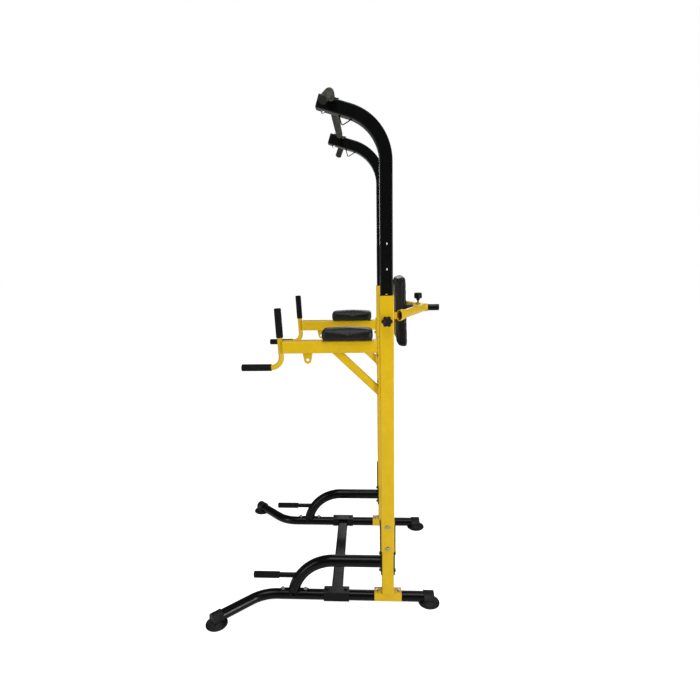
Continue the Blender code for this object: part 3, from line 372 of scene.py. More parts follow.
def bent_path(corners, radius, steps=24):
    """Centre line through corners, with each inner corner turned into an arc."""
    corners = [Vector(c) for c in corners]
    path = [corners[0]]
    for before, corner, after in zip(corners, corners[1:], corners[2:]):
        into = (corner - before).normalized()
        out = (after - corner).normalized()
        turn = into.angle(out)
        inward = (out - into).normalized()
        centre = corner + inward * radius / cos(turn / 2)
        for step in range(steps + 1):
            angle = turn * (step / steps - 0.5)
            sideways = (into + out).normalized() * radius * sin(angle)
            path.append(centre - inward * radius * cos(angle) + sideways)
    path.append(corners[-1])
    return path


# ---------------------------------------------------------------- mesh work
def skin(bm, rings, closed=False):
    """Faces between rings of the same number of points."""
    pairs = list(zip(rings, rings[1:])) + ([(rings[-1], rings[0])] if closed else [])
    for ring, following in pairs:
        for i in range(len(ring)):
            j = (i + 1) % len(ring)
            bm.faces.new((ring[i], ring[j], following[j], following[i]))


def ring_frames(path, side):
    """For each point: the direction across the path, and the stretch that a mitre needs there."""
    last = len(path) - 1
    for i, point in enumerate(path):
        into = (path[i] - path[i - 1]).normalized() if i else (path[1] - path[0]).normalized()
        out = (path[i + 1] - path[i]).normalized() if i < last else into
        yield point, (into + out).normalized().cross(side), 1.0 / cos(into.angle(out, 0.0) / 2)


def add_sweep(bm, path, side, outline, inner=None, squash=None):
    """Bar swept along a flat path, or a tube where inner gives its bore."""
    side = Vector(side).normalized()
    squash = squash or [(1.0, 1.0)] * len(path)
    shells = []
    for shape in [outline] + ([inner] if inner else []):
        shells.append([[bm.verts.new(point + side * u * wide + across * v * mitre * tall) for u, v in shape]
                       for (point, across, mitre), (wide, tall) in zip(ring_frames(path, side), squash)])
        skin(bm, shells[-1])
    if inner:
        for end in (0, -1):
            skin(bm, [shells[0][end], shells[1][end]])
    else:
        bm.faces.new(shells[0][0])
        bm.faces.new(shells[0][-1])


def across_axes(axis):
    u = axis.cross(Z_AXIS if abs(axis.z) < 0.9 else Y_AXIS).normalized()
    return u, axis.cross(u)


def add_turned(bm, profile, start, axis, sides=48):
    """Solid of revolution. profile lists (distance along the axis, radius)."""
    axis = Vector(axis).normalized()
    u, v = across_axes(axis)
    rings = [[bm.verts.new(start + axis * along + u * a + v * b)
              for a, b in circle(max(radius, LEAST_RADIUS), sides)] for along, radius in profile]
    skin(bm, rings)
    bm.faces.new(rings[0])
    bm.faces.new(rings[-1])


def add_rod(bm, start, end, radius, sides=48):
    add_turned(bm, [(0.0, radius), ((end - start).length, radius)], start, end - start, sides)


def add_plate(bm, outline, low, high, axis, side, centre):
    add_sweep(bm, [centre + axis * low, centre + axis * high], side, outline)


def add_bead(bm, loop, radius=0.0017, ripple=0.0026):
    """Weld bead round a closed loop of points, with the ripples of its puddles."""
    count = len(loop)
    length = sum((loop[i] - loop[i - 1]).length for i in range(count))
    stations = max(LEAST_STATIONS, int(length / ripple * 4))
    rings = []
    for k in range(stations):
        spot = k / stations * count
        i = int(spot)
        here, following = loop[i % count], loop[(i + 1) % count]
        point = here.lerp(following, spot - i)
        along = (following - here).normalized()
        u, v = across_axes(along)
        thick = radius * (1.0 + 0.16 * sin(k * pi / 2) + 0.22 * noise.noise(point * 160.0))
        rings.append([bm.verts.new(point + (u * a + v * b) * thick) for a, b in circle(1.0, BEAD_SIDES)])
    for ring in range(len(rings)):
        first, second = rings[ring], rings[(ring + 1) % len(rings)]
        shift = min(range(BEAD_SIDES), key=lambda s: (second[s].co - first[0].co).length)
        for i in range(BEAD_SIDES):
            j = (i + 1) % BEAD_SIDES
            ahead, behind = (j + shift) % BEAD_SIDES, (i + shift) % BEAD_SIDES
            bm.faces.new((first[i], first[j], second[ahead], second[behind]))


def loop_on_plane(outline, centre, u, v):
    return [centre + u * a + v * b for a, b in outline]


def add_hex(bm, seat, axis, across_flats=0.013, height=0.0055, washer=0.0085, dome=False):
    """Bolt head or nut on its washer. axis points away from the surface."""
    corner = across_flats / 2 / cos(pi / 6)
    if washer:
        add_turned(bm, [(0.0, washer), (0.0012, washer), (0.0015, washer - 0.0004)], seat, axis, 32)
        seat = seat + axis * 0.0014
    add_turned(bm, [(0.0, corner), (height - 0.0009, corner), (height, corner * 0.88)], seat, axis, 6)
    if dome:
        add_turned(bm, [(height - 0.0005, 0.0040), (height + 0.0016, 0.0037), (height + 0.0026, 0.0022)],
                   seat, axis, 24)


def add_dome(bm, seat, axis, radius=0.0095, height=0.0042):
    """Carriage bolt head."""
    rim = 0.0008
    profile = [(0.0, radius), (rim, radius)]
    profile += [(rim + (height - rim) * sin(a * pi / 12), radius * cos(a * pi / 12)) for a in range(1, 6)]
    add_turned(bm, profile, seat, axis, 32)


def mesh_object(name, bm):
    bmesh.ops.recalc_face_normals(bm, faces=bm.faces)
    mesh = bpy.data.meshes.new(name)
    bm.to_mesh(mesh)
    bm.free()
    obj = bpy.data.objects.new(name, mesh)
    bpy.context.scene.collection.objects.link(obj)
    return obj


def bake(obj):
    """Applies an object's modifiers."""
    graph = bpy.context.evaluated_depsgraph_get()
    mesh = bpy.data.meshes.new_from_object(obj.evaluated_get(graph))
    obj.modifiers.clear()
    obj.data = mesh


def cut(obj, tools):
    """Takes the tools' volumes out of an object."""
    for tool in tools:
        modifier = obj.modifiers.new("cut", "BOOLEAN")
        modifier.operation = "DIFFERENCE"
        modifier.solver = "EXACT"
        modifier.object = tool
    bake(obj)
    for tool in tools:
        bpy.data.objects.remove(tool)


def rod_tool(start, end, radius, sides=40):
    bm = bmesh.new()
    add_rod(bm, start, end, radius, sides)
    return mesh_object("tool", bm)


def finish_piece(obj, material, body, nodes=(), edge=0.0006):
    """Shades a piece, rounds its edges, and hangs it on its CAD body in place of the nodes."""
    obj.data.materials.clear()
    obj.data.materials.append(material)
    obj.data.shade_smooth()
    if edge:
        bevel = obj.modifiers.new("edges", "BEVEL")
        bevel.width = edge
        bevel.segments = 2
        bevel.limit_method = "ANGLE"
        bevel.angle_limit = SHARP_ANGLE
        bevel.use_clamp_overlap = True
        bevel.miter_outer = "MITER_ARC"
        even = obj.modifiers.new("flat faces", "WEIGHTED_NORMAL")
        even.weight = 100
    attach(obj, body)
    if nodes:
        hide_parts(*nodes)
    return obj


def piece(name, material, body, build, nodes=(), edge=0.0006):
    """One visible piece: build adds its shape to an empty mesh."""
    bm = bmesh.new()
    build(bm)
    return finish_piece(mesh_object(name, bm), material, body, nodes, edge)


def side_piece(name, label, material, body, build, nodes=(), edge=0.0006):
    """One of a left and right pair: build also gets the side, and nodes lack their label."""
    side = dict(SIDES)[label]
    own_nodes = [f"{node}_{label}" for node in nodes]
    return piece(f"{name}_{label}", material, body, lambda bm: build(bm, side), own_nodes, edge)


# ---------------------------------------------------------------- base
def leg_direction(side):
    return Vector((side * sin(LEG_SPLAY), -cos(LEG_SPLAY), 0.0))


def front_foot_centre(side):
    return Vector((side * FRONT_FOOT.x, FRONT_FOOT.y, RAIL_Z))


def add_rail(bm, side):
    foot = front_foot_centre(side)
    run = (FRONT_FOOT.x - FRAME_X) / sin(LEG_SPLAY)
    corner = foot - leg_direction(side) * run
    corners = [at(side * FRAME_X, RAIL_REAR_Y, RAIL_Z), corner, foot + leg_direction(side) * LEG_OVERHANG]
    add_sweep(bm, bent_path(corners, LEG_BEND_RADIUS, 32), Z_AXIS, circle(RAIL_RADIUS, 56))


def add_foot(bm, centre, direction, tube_end):
    """Moulded foot: a cap over the tube's end that runs out into a round base."""
    base = Vector((centre.x, centre.y, 0.0))
    rim = FOOT_RADIUS
    profile = [(0.0, rim - 0.0012), (0.0010, rim), (0.0042, rim), (0.0056, rim - 0.0008),
               (0.0064, rim - 0.0026), (0.0085, rim - 0.0110), (0.0125, rim - 0.0165), (0.0200, rim - 0.0195)]
    add_turned(bm, profile, base, Z_AXIS, 72)
    end = tube_end + direction * 0.005
    fillet = round_lip(SLEEVE_RADIUS, 0.0030)
    lip = [(SLEEVE_LENGTH - 0.0050, SLEEVE_RADIUS), (SLEEVE_LENGTH - 0.0044, SLEEVE_RADIUS + 0.0009),
           (SLEEVE_LENGTH - 0.0006, SLEEVE_RADIUS + 0.0009), (SLEEVE_LENGTH, SLEEVE_RADIUS + 0.0002),
           (SLEEVE_LENGTH, RAIL_RADIUS + GAP)]
    add_turned(bm, fillet + lip, end, -direction, 56)


def saddle_outline(half, reach, top, drop):
    """Cross-section of a channel over the rail, as (across, up) from the rail's axis."""
    corner = 0.004
    bottom = top - drop
    outer = [(-half, bottom)]
    turns = [(corner * sin(a * pi / 8), corner * cos(a * pi / 8)) for a in range(5)]
    outer += [(-half + corner - b, top - corner + a) for a, b in turns]
    outer += [(half - corner + a, top - corner + b) for a, b in turns]
    outer.append((half, bottom))
    start = max(bottom, 0.0)
    first = atan2(start, sqrt(reach * reach - start * start))
    inner = [(reach, bottom)] if bottom < 0 else []
    inner += [(reach * cos(first + (pi - 2 * first) * i / 20), reach * sin(first + (pi - 2 * first) * i / 20))
              for i in range(21)]
    return outer + inner + ([(-reach, bottom)] if bottom < 0 else [])


def add_along_rail(bm, side, y, length, outline):
    """Closed piece of one cross-section along the rail, which outline gives from the rail's axis."""
    rings = [[bm.verts.new(at(side * FRAME_X + a, y + end, RAIL_Z + b)) for a, b in outline]
             for end in (-length / 2, length / 2)]
    skin(bm, rings)
    bm.faces.new(rings[0])
    bm.faces.new(rings[1])


def add_saddle(bm, side, y, length, drop):
    """Pressed channel over the rail."""
    reach = RAIL_RADIUS + GAP
    outline = saddle_outline(reach + SADDLE_THICKNESS, reach, reach + SADDLE_THICKNESS, drop)
    add_along_rail(bm, side, y, length, outline)


def square_tube_outlines(width, wall):
    inner = width - 2 * wall
    return rounded_box(width, width, TUBE_CORNER), rounded_box(inner, inner, TUBE_CORNER - wall)


def add_post(bm, side, width, wall, low, high):
    outer, inner = square_tube_outlines(width, wall)
    add_sweep(bm, [at(side * FRAME_X, 0, low), at(side * FRAME_X, 0, high)], X_AXIS, outer, inner)


def saddle_top():
    return RAIL_Z + RAIL_RADIUS + GAP + SADDLE_THICKNESS


def add_base_post(bm, side):
    add_post(bm, side, BASE_POST_WIDTH, TUBE_WALL, saddle_top() - 0.001, BASE_POST_TOP)
    add_saddle(bm, side, 0.0, SADDLE_LENGTH, SADDLE_DROP)
    foot = rounded_box(BASE_POST_WIDTH - 0.001, BASE_POST_WIDTH + 0.001, TUBE_CORNER, 4)
    add_bead(bm, loop_on_plane(foot, at(side * FRAME_X, 0, saddle_top() + 0.0003), X_AXIS, Y_AXIS))


def add_crossbar(bm):
    reach = FRAME_X - RAIL_RADIUS - 0.001
    outline = rounded_box(CROSSBAR_HEIGHT, CROSSBAR_WIDTH, 0.006)
    add_sweep(bm, [at(-reach, CROSSBAR_Y, RAIL_Z), at(reach, CROSSBAR_Y, RAIL_Z)], Z_AXIS, outline)
    for side in (1, -1):
        add_saddle(bm, side, CROSSBAR_Y, CROSSBAR_SADDLE_LENGTH, CROSSBAR_SADDLE_DROP)
        spot = at(side * (FRAME_X - RAIL_RADIUS - GAP - SADDLE_THICKNESS), CROSSBAR_Y, RAIL_Z)
        seam = rounded_box(CROSSBAR_WIDTH, CROSSBAR_HEIGHT, 0.006, 4)
        add_bead(bm, loop_on_plane(seam, spot, Y_AXIS, Z_AXIS))


def crossbar_bolts(side):
    return [at(side * FRAME_X, CROSSBAR_Y + offset, saddle_top()) for offset in
            (-CROSSBAR_BOLT_SPREAD, CROSSBAR_BOLT_SPREAD)]


def build_base(label, side):
    leg = leg_direction(side)
    foot = front_foot_centre(side)
    rear = Vector((side * REAR_FOOT.x, REAR_FOOT.y, RAIL_Z))
    rear_end = at(side * FRAME_X, RAIL_REAR_Y, RAIL_Z)
    side_piece("rail", label, BLACK, "frame", add_rail, ["base_rail"])
    piece(f"front_foot_{label}", RUBBER, "frame",
          lambda bm: add_foot(bm, foot, leg, foot + leg * LEG_OVERHANG), [f"foot_front_{label}"], 0)
    piece(f"rear_foot_{label}", RUBBER, "frame", lambda bm: add_foot(bm, rear, Y_AXIS, rear_end),
          [f"foot_rear_{label}"], 0)
    side_piece("lower_post", label, YELLOW, "frame", add_base_post, ["base_post"], 0.0005)
    side_piece("base_bolts", label, ZINC, "frame", add_base_bolts, edge=0.0002)
    side_piece("crossbar_bolt_heads", label, BLACK, "frame", add_crossbar_bolts, edge=0)


def add_crossbar_bolts(bm, side):
    for spot in crossbar_bolts(side):
        add_dome(bm, spot, Z_AXIS)


def add_base_bolts(bm, side):
    """Bolts of the lower post's saddle and of the brace's foot, and the nuts under the crossbar's."""
    for y in (-SADDLE_BOLT_Y, SADDLE_BOLT_Y, *BRACE_FOOT_BOLTS):
        add_hex(bm, at(side * FRAME_X, y, saddle_top()), Z_AXIS)
    for spot in crossbar_bolts(side):
        under = Vector((spot.x, spot.y, RAIL_Z - RAIL_RADIUS + 0.0004))
        add_hex(bm, under, -Z_AXIS, height=0.0052, washer=0.0090)


# ---------------------------------------------------------------- curved brace
def brace_bolt_places():
    return [BRACE_Z - BRACE_BOLT_SPREAD, BRACE_Z + BRACE_BOLT_SPREAD]


def add_tongue(bm, side, facing):
    """Upper part of a brace plate, lying on a face of the upright."""
    low, high = TONGUE_SPAN
    seat = UPRIGHT_WIDTH / 2 + GAP
    centre = at(side * FRAME_X, 0, (low + high) / 2) + facing * seat
    add_plate(bm, rounded_box(TONGUE_WIDTH, high - low, 0.005), 0.0, TONGUE_THICKNESS, facing, X_AXIS, centre)


def add_brace(bm, side):
    """Bent tube from the post to the rail, its two plates, and the push-up handle's tube."""
    x = side * FRAME_X
    front = -BASE_POST_WIDTH / 2 - GAP
    tangent = BRACE_BEND_RADIUS * tan(BRACE_TURN / 2)
    corner_y = BRACE_FOOT_Y + BRACE_BEND_RADIUS * sin(BRACE_TURN) - tangent
    down = Vector((0.0, -cos(BRACE_TURN), -sin(BRACE_TURN)))
    corner = at(x, corner_y, BRACE_Z)
    depth = (BRACE_Z - BRACE_BEND_RADIUS * (1 - cos(BRACE_TURN)) - saddle_top() + 0.004) / sin(BRACE_TURN)
    foot = corner + down * (tangent + max(depth, 0.002))
    add_sweep(bm, bent_path([at(x, front - 0.002, BRACE_Z), corner, foot], BRACE_BEND_RADIUS, 36), X_AXIS,
              circle(BRACE_RADIUS, 56))
    add_plate(bm, rounded_box(BASE_POST_WIDTH, PLATE_HEIGHT, 0.006), 0.0, PLATE_THICKNESS, -Y_AXIS, X_AXIS,
              at(x, front, BRACE_Z))
    spot = at(x, front - PLATE_THICKNESS, BRACE_Z)
    add_bead(bm, loop_on_plane(circle(BRACE_RADIUS, 40), spot, X_AXIS, Z_AXIS))
    add_tongue(bm, side, -Y_AXIS)
    add_foot_plate(bm, side)
    add_bead(bm, brace_foot_loop(side, foot))
    tip = at(x, PUSH_UP_TIP_Y + GRIP_END, PUSH_UP_Z)
    add_sweep(bm, [tip, at(x, PUSH_UP_ROOT_Y, PUSH_UP_Z)], X_AXIS, circle(HANDLE_RADIUS, 40))
    add_bead(bm, handle_root_loop(side))


def add_foot_plate(bm, side):
    """Curved plate that the brace stands on, bent over the top of the rail."""
    reach = RAIL_RADIUS + GAP
    wide = radians(64.0)
    thick = SADDLE_THICKNESS
    under = [(reach * sin(wide * t / 12), reach * cos(wide * t / 12)) for t in range(-12, 13)]
    over = [(a * (reach + thick) / reach, b * (reach + thick) / reach) for a, b in reversed(under)]
    add_along_rail(bm, side, BRACE_FOOT_Y, BRACE_SADDLE_LENGTH, under + over)


def brace_foot_loop(side, foot):
    """Where the brace's tube meets the plate: its round wall dropped onto the plate's curve."""
    reach = RAIL_RADIUS + GAP + SADDLE_THICKNESS
    loop = []
    for a, b in circle(BRACE_RADIUS, 48):
        across = max(-reach * 0.97, min(reach * 0.97, a))
        up = sqrt(reach * reach - across * across)
        along = b / sin(BRACE_TURN) + (up - reach) / tan(BRACE_TURN)
        loop.append(at(side * FRAME_X + a, BRACE_FOOT_Y + 0.002 + along, RAIL_Z + up))
    return loop


def handle_root_loop(side):
    """Where the push-up handle's tube enters the bend of the brace."""
    centre_y = BRACE_FOOT_Y + BRACE_BEND_RADIUS * sin(BRACE_TURN)
    centre_z = BRACE_Z - BRACE_BEND_RADIUS
    loop = []
    for a, b in circle(HANDLE_RADIUS, 32):
        ring = BRACE_BEND_RADIUS + sqrt(BRACE_RADIUS ** 2 - a * a)
        z = PUSH_UP_Z + b
        loop.append(at(side * FRAME_X + a, centre_y - sqrt(ring ** 2 - (z - centre_z) ** 2), z))
    return loop


def add_clamp(bm, side):
    rear = at(side * FRAME_X, BASE_POST_WIDTH / 2 + GAP, BRACE_Z)
    outline = rounded_box(BASE_POST_WIDTH, PLATE_HEIGHT, 0.006)
    add_plate(bm, outline, 0.0, PLATE_THICKNESS, Y_AXIS, X_AXIS, rear)
    add_tongue(bm, side, Y_AXIS)


def add_clamp_bolts(bm, side):
    """Bolt heads behind the clamp plate, and nuts and bolt ends ahead of the brace's plate."""
    for z in brace_bolt_places():
        out = BASE_POST_WIDTH / 2 + GAP + PLATE_THICKNESS
        add_hex(bm, at(side * FRAME_X, out, z), Y_AXIS, washer=0)
        add_hex(bm, at(side * FRAME_X, -out, z), -Y_AXIS, height=0.0065, dome=True, washer=0)


def build_brace(label, side):
    side_piece("brace", label, BLACK, "frame", add_brace, ["curved_brace"], 0.0005)
    side_piece("clamp_plate", label, BLACK, "frame", add_clamp, ["brace_clamp"])
    side_piece("clamp_bolts", label, ZINC, "frame", add_clamp_bolts, edge=0.0002)
    tip = at(side * FRAME_X, PUSH_UP_TIP_Y, PUSH_UP_Z)
    length = size(f"push_up_grip_{label}").y
    piece(f"floor_grip_{label}", HANDLE_FOAM, "frame", lambda bm: add_grip(bm, tip, Y_AXIS, length),
          [f"push_up_grip_{label}"], 0)


# ---------------------------------------------------------------- grips
def add_grip(bm, tip, axis, length):
    """Rubber-skinned grip: closed round end, a shallow groove near each end and an open rolled lip."""
    radius = GRIP_RADIUS
    profile = [(0.0, radius - 0.0060)] + round_lip(radius, 0.0035)
    for start in (0.0115, length - 0.0130):
        profile += [(start, radius), (start + 0.0006, radius - 0.0007), (start + 0.0014, radius - 0.0007),
                    (start + 0.0020, radius)]
    profile += [(length - 0.0012, radius), (length - 0.0003, radius - 0.0006), (length, radius - 0.0016),
                (length, HANDLE_RADIUS + GAP)]
    add_turned(bm, profile, tip, axis, 56)


# ---------------------------------------------------------------- uprights and height pins
def add_upright(bm, side):
    add_post(bm, side, UPRIGHT_WIDTH, UPRIGHT_WALL, UPRIGHT_BOTTOM, UPRIGHT_TOP)
    face = at(side * (FRAME_X + UPRIGHT_WIDTH / 2), 0, PIN_Z)
    axis = X_AXIS * side
    add_turned(bm, [(-0.001, 0.011), (0.0095, 0.011), (0.010, 0.0105)], face, axis)
    add_bead(bm, loop_on_plane(circle(0.0112, 32), face, Y_AXIS, Z_AXIS), 0.0012)


def add_bushing(bm, side):
    outer = UPRIGHT_WIDTH - 2 * UPRIGHT_WALL - 2 * GAP
    inner = POST_WIDTH + 2 * GAP
    low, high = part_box("post_bushing_left")[0].z, UPRIGHT_TOP
    add_sweep(bm, [at(side * FRAME_X, 0, low), at(side * FRAME_X, 0, high)], X_AXIS,
              rounded_box(outer, outer, 0.0032), rounded_box(inner, inner, 0.0052))


def add_side_bolts(bm, side):
    """Bolts through the upright and the lower post, heads outside and nuts inside."""
    for name in ("upright_bolt_lower_left", "upright_bolt_upper_left"):
        z = middle(name).z
        for facing in (side, -side):
            seat = at(side * FRAME_X + facing * (UPRIGHT_WIDTH / 2 + 0.0001), 0, z)
            add_hex(bm, seat, X_AXIS * facing, dome=facing != side)


def add_pin(bm, side):
    low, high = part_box("height_pin_left")
    start = Vector((side * low.x, low.y + (high.y - low.y) / 2, PIN_Z))
    length = high.x - low.x
    collar = FRAME_X + UPRIGHT_WIDTH / 2 + 0.010 - low.x
    profile = [(0.0, 0.0035), (0.0014, 0.0050), (collar, 0.0050), (collar, 0.0072), (collar + 0.0004, 0.0075),
               (collar + 0.0026, 0.0075), (collar + 0.0030, 0.0071), (collar + 0.0030, 0.0040),
               (length, 0.0040)]
    add_turned(bm, profile, start, X_AXIS * side, 40)


def add_star(bm, seat, axis, height, radius, lobes=6):
    """Lobed knob: domed top with a recessed cap, and a round boss under it."""
    u, v = across_axes(axis)
    boss = 0.25 * height
    body = height - boss
    levels = [(0.00, 0.84), (0.03, 0.90), (0.10, 0.96), (0.25, 1.0), (0.70, 1.0), (0.86, 0.965), (0.95, 0.90),
              (1.00, 0.80), (1.00, 0.52), (0.965, 0.49), (0.965, 0.05)]
    count = lobes * 20
    rings = []
    for level, scale in levels:
        waves = max(0.0, min(1.0, (scale - 0.5) / 0.3))
        ring = []
        for i in range(count):
            angle = 2 * pi * i / count
            lobe = (0.5 + 0.5 * cos(lobes * angle)) ** 0.6
            reach = radius * scale * (1.0 - 0.22 * waves * (1.0 - lobe))
            out = u * cos(angle) + v * sin(angle)
            ring.append(bm.verts.new(seat + axis * (boss + body * level) + out * reach))
        rings.append(ring)
    skin(bm, rings)
    bm.faces.new(rings[0])
    bm.faces.new(rings[-1])
    neck = [(0.0, 0.36 * radius), (0.0006, 0.40 * radius), (boss * 0.7, 0.44 * radius),
            (boss + 0.001, 0.54 * radius)]
    add_turned(bm, neck, seat, axis, 40)


def build_upright(label, side):
    side_piece("post_sleeve", label, YELLOW, "frame", add_upright, ["upright"], 0.0004)
    side_piece("guide_bushing", label, PLASTIC, "frame", add_bushing, ["post_bushing"], 0.0003)
    side_piece("side_bolts", label, ZINC, "frame", add_side_bolts,
               ["upright_bolt_lower", "upright_bolt_upper"], 0.0002)
    side_piece("lock_pin", label, ZINC, f"height_pin_{label}", add_pin, ["height_pin"], 0)
    low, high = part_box(f"height_knob_{label}")
    seat = at(side * min(abs(low.x), abs(high.x)), 0, PIN_Z)
    piece(f"star_knob_{label}", PLASTIC, f"height_knob_{label}",
          lambda bm: add_star(bm, seat, X_AXIS * side, high.x - low.x, size(f"height_knob_{label}").y / 2),
          [f"height_knob_{label}"], 0)


# ---------------------------------------------------------------- gooseneck posts
def neck_axes():
    """Directions along the end of the neck and square to it, upward."""
    return Vector((0.0, -sin(NECK_TURN), cos(NECK_TURN))), Vector((0.0, cos(NECK_TURN), sin(NECK_TURN)))


def neck_point(side, distance, lift_by=0.0):
    """Point on the neck's straight end, measured from the end of the bend."""
    along, lift = neck_axes()
    bend_end = at(side * FRAME_X, -NECK_BEND_RADIUS * (1 - cos(NECK_TURN)),
                  NECK_START_Z + NECK_BEND_RADIUS * sin(NECK_TURN))
    return bend_end + along * distance + lift * lift_by


def build_gooseneck(label, side):
    """Bent square post with its row of holes and the seat of the bar."""
    x = side * FRAME_X
    corner = at(x, 0.0, NECK_START_Z + NECK_BEND_RADIUS * tan(NECK_TURN / 2))
    path = bent_path([at(x, 0, POST_BOTTOM), corner, neck_point(side, NECK_END_LENGTH)], NECK_BEND_RADIUS, 40)
    bm = bmesh.new()
    add_sweep(bm, path, X_AXIS, *square_tube_outlines(POST_WIDTH, TUBE_WALL))
    post = mesh_object(f"gooseneck_post_{label}", bm)
    reach = X_AXIS * POST_WIDTH
    holes = [at(x, 0, PIN_Z + i * HOLE_PITCH) for i in HOLES]
    tools = [rod_tool(hole - reach, hole + reach, HOLE_RADIUS) for hole in holes]
    _, lift = neck_axes()
    seat = neck_point(side, BAR_AHEAD, BAR_LIFT)
    tools.append(rod_tool(seat - reach, seat + reach, BAR_RADIUS + GAP, 48))
    bm = bmesh.new()
    half = BAR_RADIUS + GAP - 0.0001
    add_plate(bm, [(-0.04, -half), (0.04, -half), (0.04, half), (-0.04, half)], 0.0, 0.04, lift, X_AXIS, seat)
    tools.append(mesh_object("tool", bm))
    cut(post, tools)
    finish_piece(post, BLACK, "pull_up_frame", [f"gooseneck_{label}"], 0.0004)


def add_neck_cap(bm, side):
    """Plastic plug: flat face, rounded rim and a plain shank inside the tube."""
    along, lift = neck_axes()
    end = neck_point(side, NECK_END_LENGTH)
    wide = POST_WIDTH
    inner = POST_WIDTH - 2 * TUBE_WALL - 2 * GAP
    steps = [(-0.012, inner - 0.001, 0.003), (-0.0002, inner, 0.003), (GAP, wide - 0.0006, 0.005),
             (0.0008, wide, 0.0055), (0.0020, wide, 0.0055), (0.0027, wide - 0.0016, 0.0060),
             (0.0030, wide - 0.0050, 0.0060)]
    rings = []
    for distance, width, corner in steps:
        rings.append([bm.verts.new(end + along * distance + X_AXIS * a + lift * b)
                      for a, b in rounded_box(width, width, corner)])
    skin(bm, rings)
    bm.faces.new(rings[0])
    bm.faces.new(rings[-1])


def add_strap(bm, side):
    """Flat strap over the bar with a low hump where the bar passes."""
    _, lift = neck_axes()
    base = POST_WIDTH / 2 + GAP
    thick = 0.003
    count = 28
    rings = []
    for i in range(count + 1):
        distance = CLAMP_SPAN[0] + (CLAMP_SPAN[1] - CLAMP_SPAN[0]) * i / count
        hump = 0.0011 * max(0.0, cos(distance / 0.013 * pi / 2)) if abs(distance) < 0.013 else 0.0
        edge = min(i, count - i) / count
        narrow = 1.0 if edge > 0.06 else 0.90 + 0.10 * edge / 0.06
        spot = neck_point(side, BAR_AHEAD + distance, base + thick / 2 + hump)
        rings.append([bm.verts.new(spot + X_AXIS * a * narrow + lift * b)
                      for a, b in rounded_box(CLAMP_WIDTH, thick, 0.0012, 3)])
    skin(bm, rings)
    bm.faces.new(rings[0])
    bm.faces.new(rings[-1])


def add_strap_bolts(bm, side):
    """Two bolts through the strap and the neck, with a nut under the forward one."""
    _, lift = neck_axes()
    for ahead in (CLAMP_BOLT_AHEAD, -0.0185):
        top = neck_point(side, BAR_AHEAD + ahead, POST_WIDTH / 2 + 0.0034)
        add_hex(bm, top, lift, across_flats=0.010, height=0.0042, washer=0.0068)
    under = neck_point(side, BAR_AHEAD + CLAMP_BOLT_AHEAD, -POST_WIDTH / 2)
    add_hex(bm, under, -lift, height=0.0065, dome=True)


def add_loop(bm, side):
    """Bent wire under the neck, with a weld at each end."""
    _, lift = neck_axes()
    underside = -POST_WIDTH / 2 - GAP - LOOP_WIRE
    rear = neck_point(side, LOOP_SPAN[0], underside - LOOP_SAG)
    front = neck_point(side, LOOP_SPAN[1], underside)
    point = front.lerp(rear, 0.42) - lift * LOOP_DEPTH
    path = bent_path([front + lift * 0.0018, point, rear + lift * 0.0018], 0.006, 14)
    add_sweep(bm, path, X_AXIS, circle(LOOP_WIRE, 20))
    for end in (front, rear):
        profile = [(0.0016 - 0.0030 * cos(a * pi / 8), 0.0042 * sin(a * pi / 8) + 0.0002)
                   for a in range(1, 8)]
        add_turned(bm, profile, end, lift, 20)


def build_neck_end(label):
    body = "pull_up_frame"
    side_piece("neck_cap", label, PLASTIC, body, add_neck_cap, ["gooseneck_cap"], 0)
    side_piece("bar_strap", label, BLACK, body, add_strap, ["bar_clamp"], 0.0003)
    side_piece("strap_bolts", label, ZINC, body, add_strap_bolts, ["bar_bolt"], 0.0002)
    side_piece("band_loop", label, BLACK, body, add_loop, ["hook_loop"], 0)


# ---------------------------------------------------------------- pull-up bar
def bar_corners():
    """Tips and bend corners of the bar, whose ends droop and lean forward."""
    seat = neck_point(0, BAR_AHEAD, BAR_LIFT)
    droop = Vector((0.0, -sin(BAR_LEAN), -cos(BAR_LEAN)))
    ends = []
    for side in (-1, 1):
        corner = seat + X_AXIS * side * BAR_BEND_X
        out = X_AXIS * side * cos(BAR_DROOP) + droop * sin(BAR_DROOP)
        ends.append((corner + out * BAR_END_LENGTH, corner))
    return [ends[0][0], ends[0][1], ends[1][1], ends[1][0]]


def bar_plane():
    return X_AXIS.cross(Vector((0.0, -sin(BAR_LEAN), -cos(BAR_LEAN))))


def add_bar(bm):
    add_sweep(bm, bent_path(bar_corners(), BAR_BEND_RADIUS, 20), bar_plane(), circle(BAR_RADIUS))


def foam_shape(path, lengths, taper_start, taper_end):
    """Scale of a foam sleeve's outline at each point of its path: tapered ends and a little unevenness."""
    total = lengths[-1]
    factors = []
    for point, length in zip(path, lengths):
        factor = 1.0 + 0.018 * noise.noise(point * 34.0)
        for taper, distance in ((taper_start, length), (taper_end, total - length)):
            if taper and distance < taper:
                factor *= 0.83 + 0.17 * sin(pi / 2 * distance / taper)
        factors.append((factor, factor))
    return factors


def resample(path, step):
    """The same line with a point about every step."""
    points, lengths, travelled = [path[0]], [0.0], 0.0
    for a, b in zip(path, path[1:]):
        count = max(1, round((b - a).length / step))
        for i in range(1, count + 1):
            points.append(a.lerp(b, i / count))
            travelled += (b - a).length / count
            lengths.append(travelled)
    return points, lengths


def add_foam(bm, path, plane, taper_start, taper_end):
    points, lengths = resample(path, 0.0030)
    factors = foam_shape(points, lengths, taper_start, taper_end)
    add_sweep(bm, points, plane, circle(BAR_FOAM_RADIUS, 44), squash=factors)


def outer_foam_path(side):
    corners = bar_corners()[2:] if side > 0 else bar_corners()[1::-1]
    start = Vector((side * FOAM_OUTER_START, corners[0].y, corners[0].z))
    return bent_path([start] + corners, BAR_BEND_RADIUS, 20)


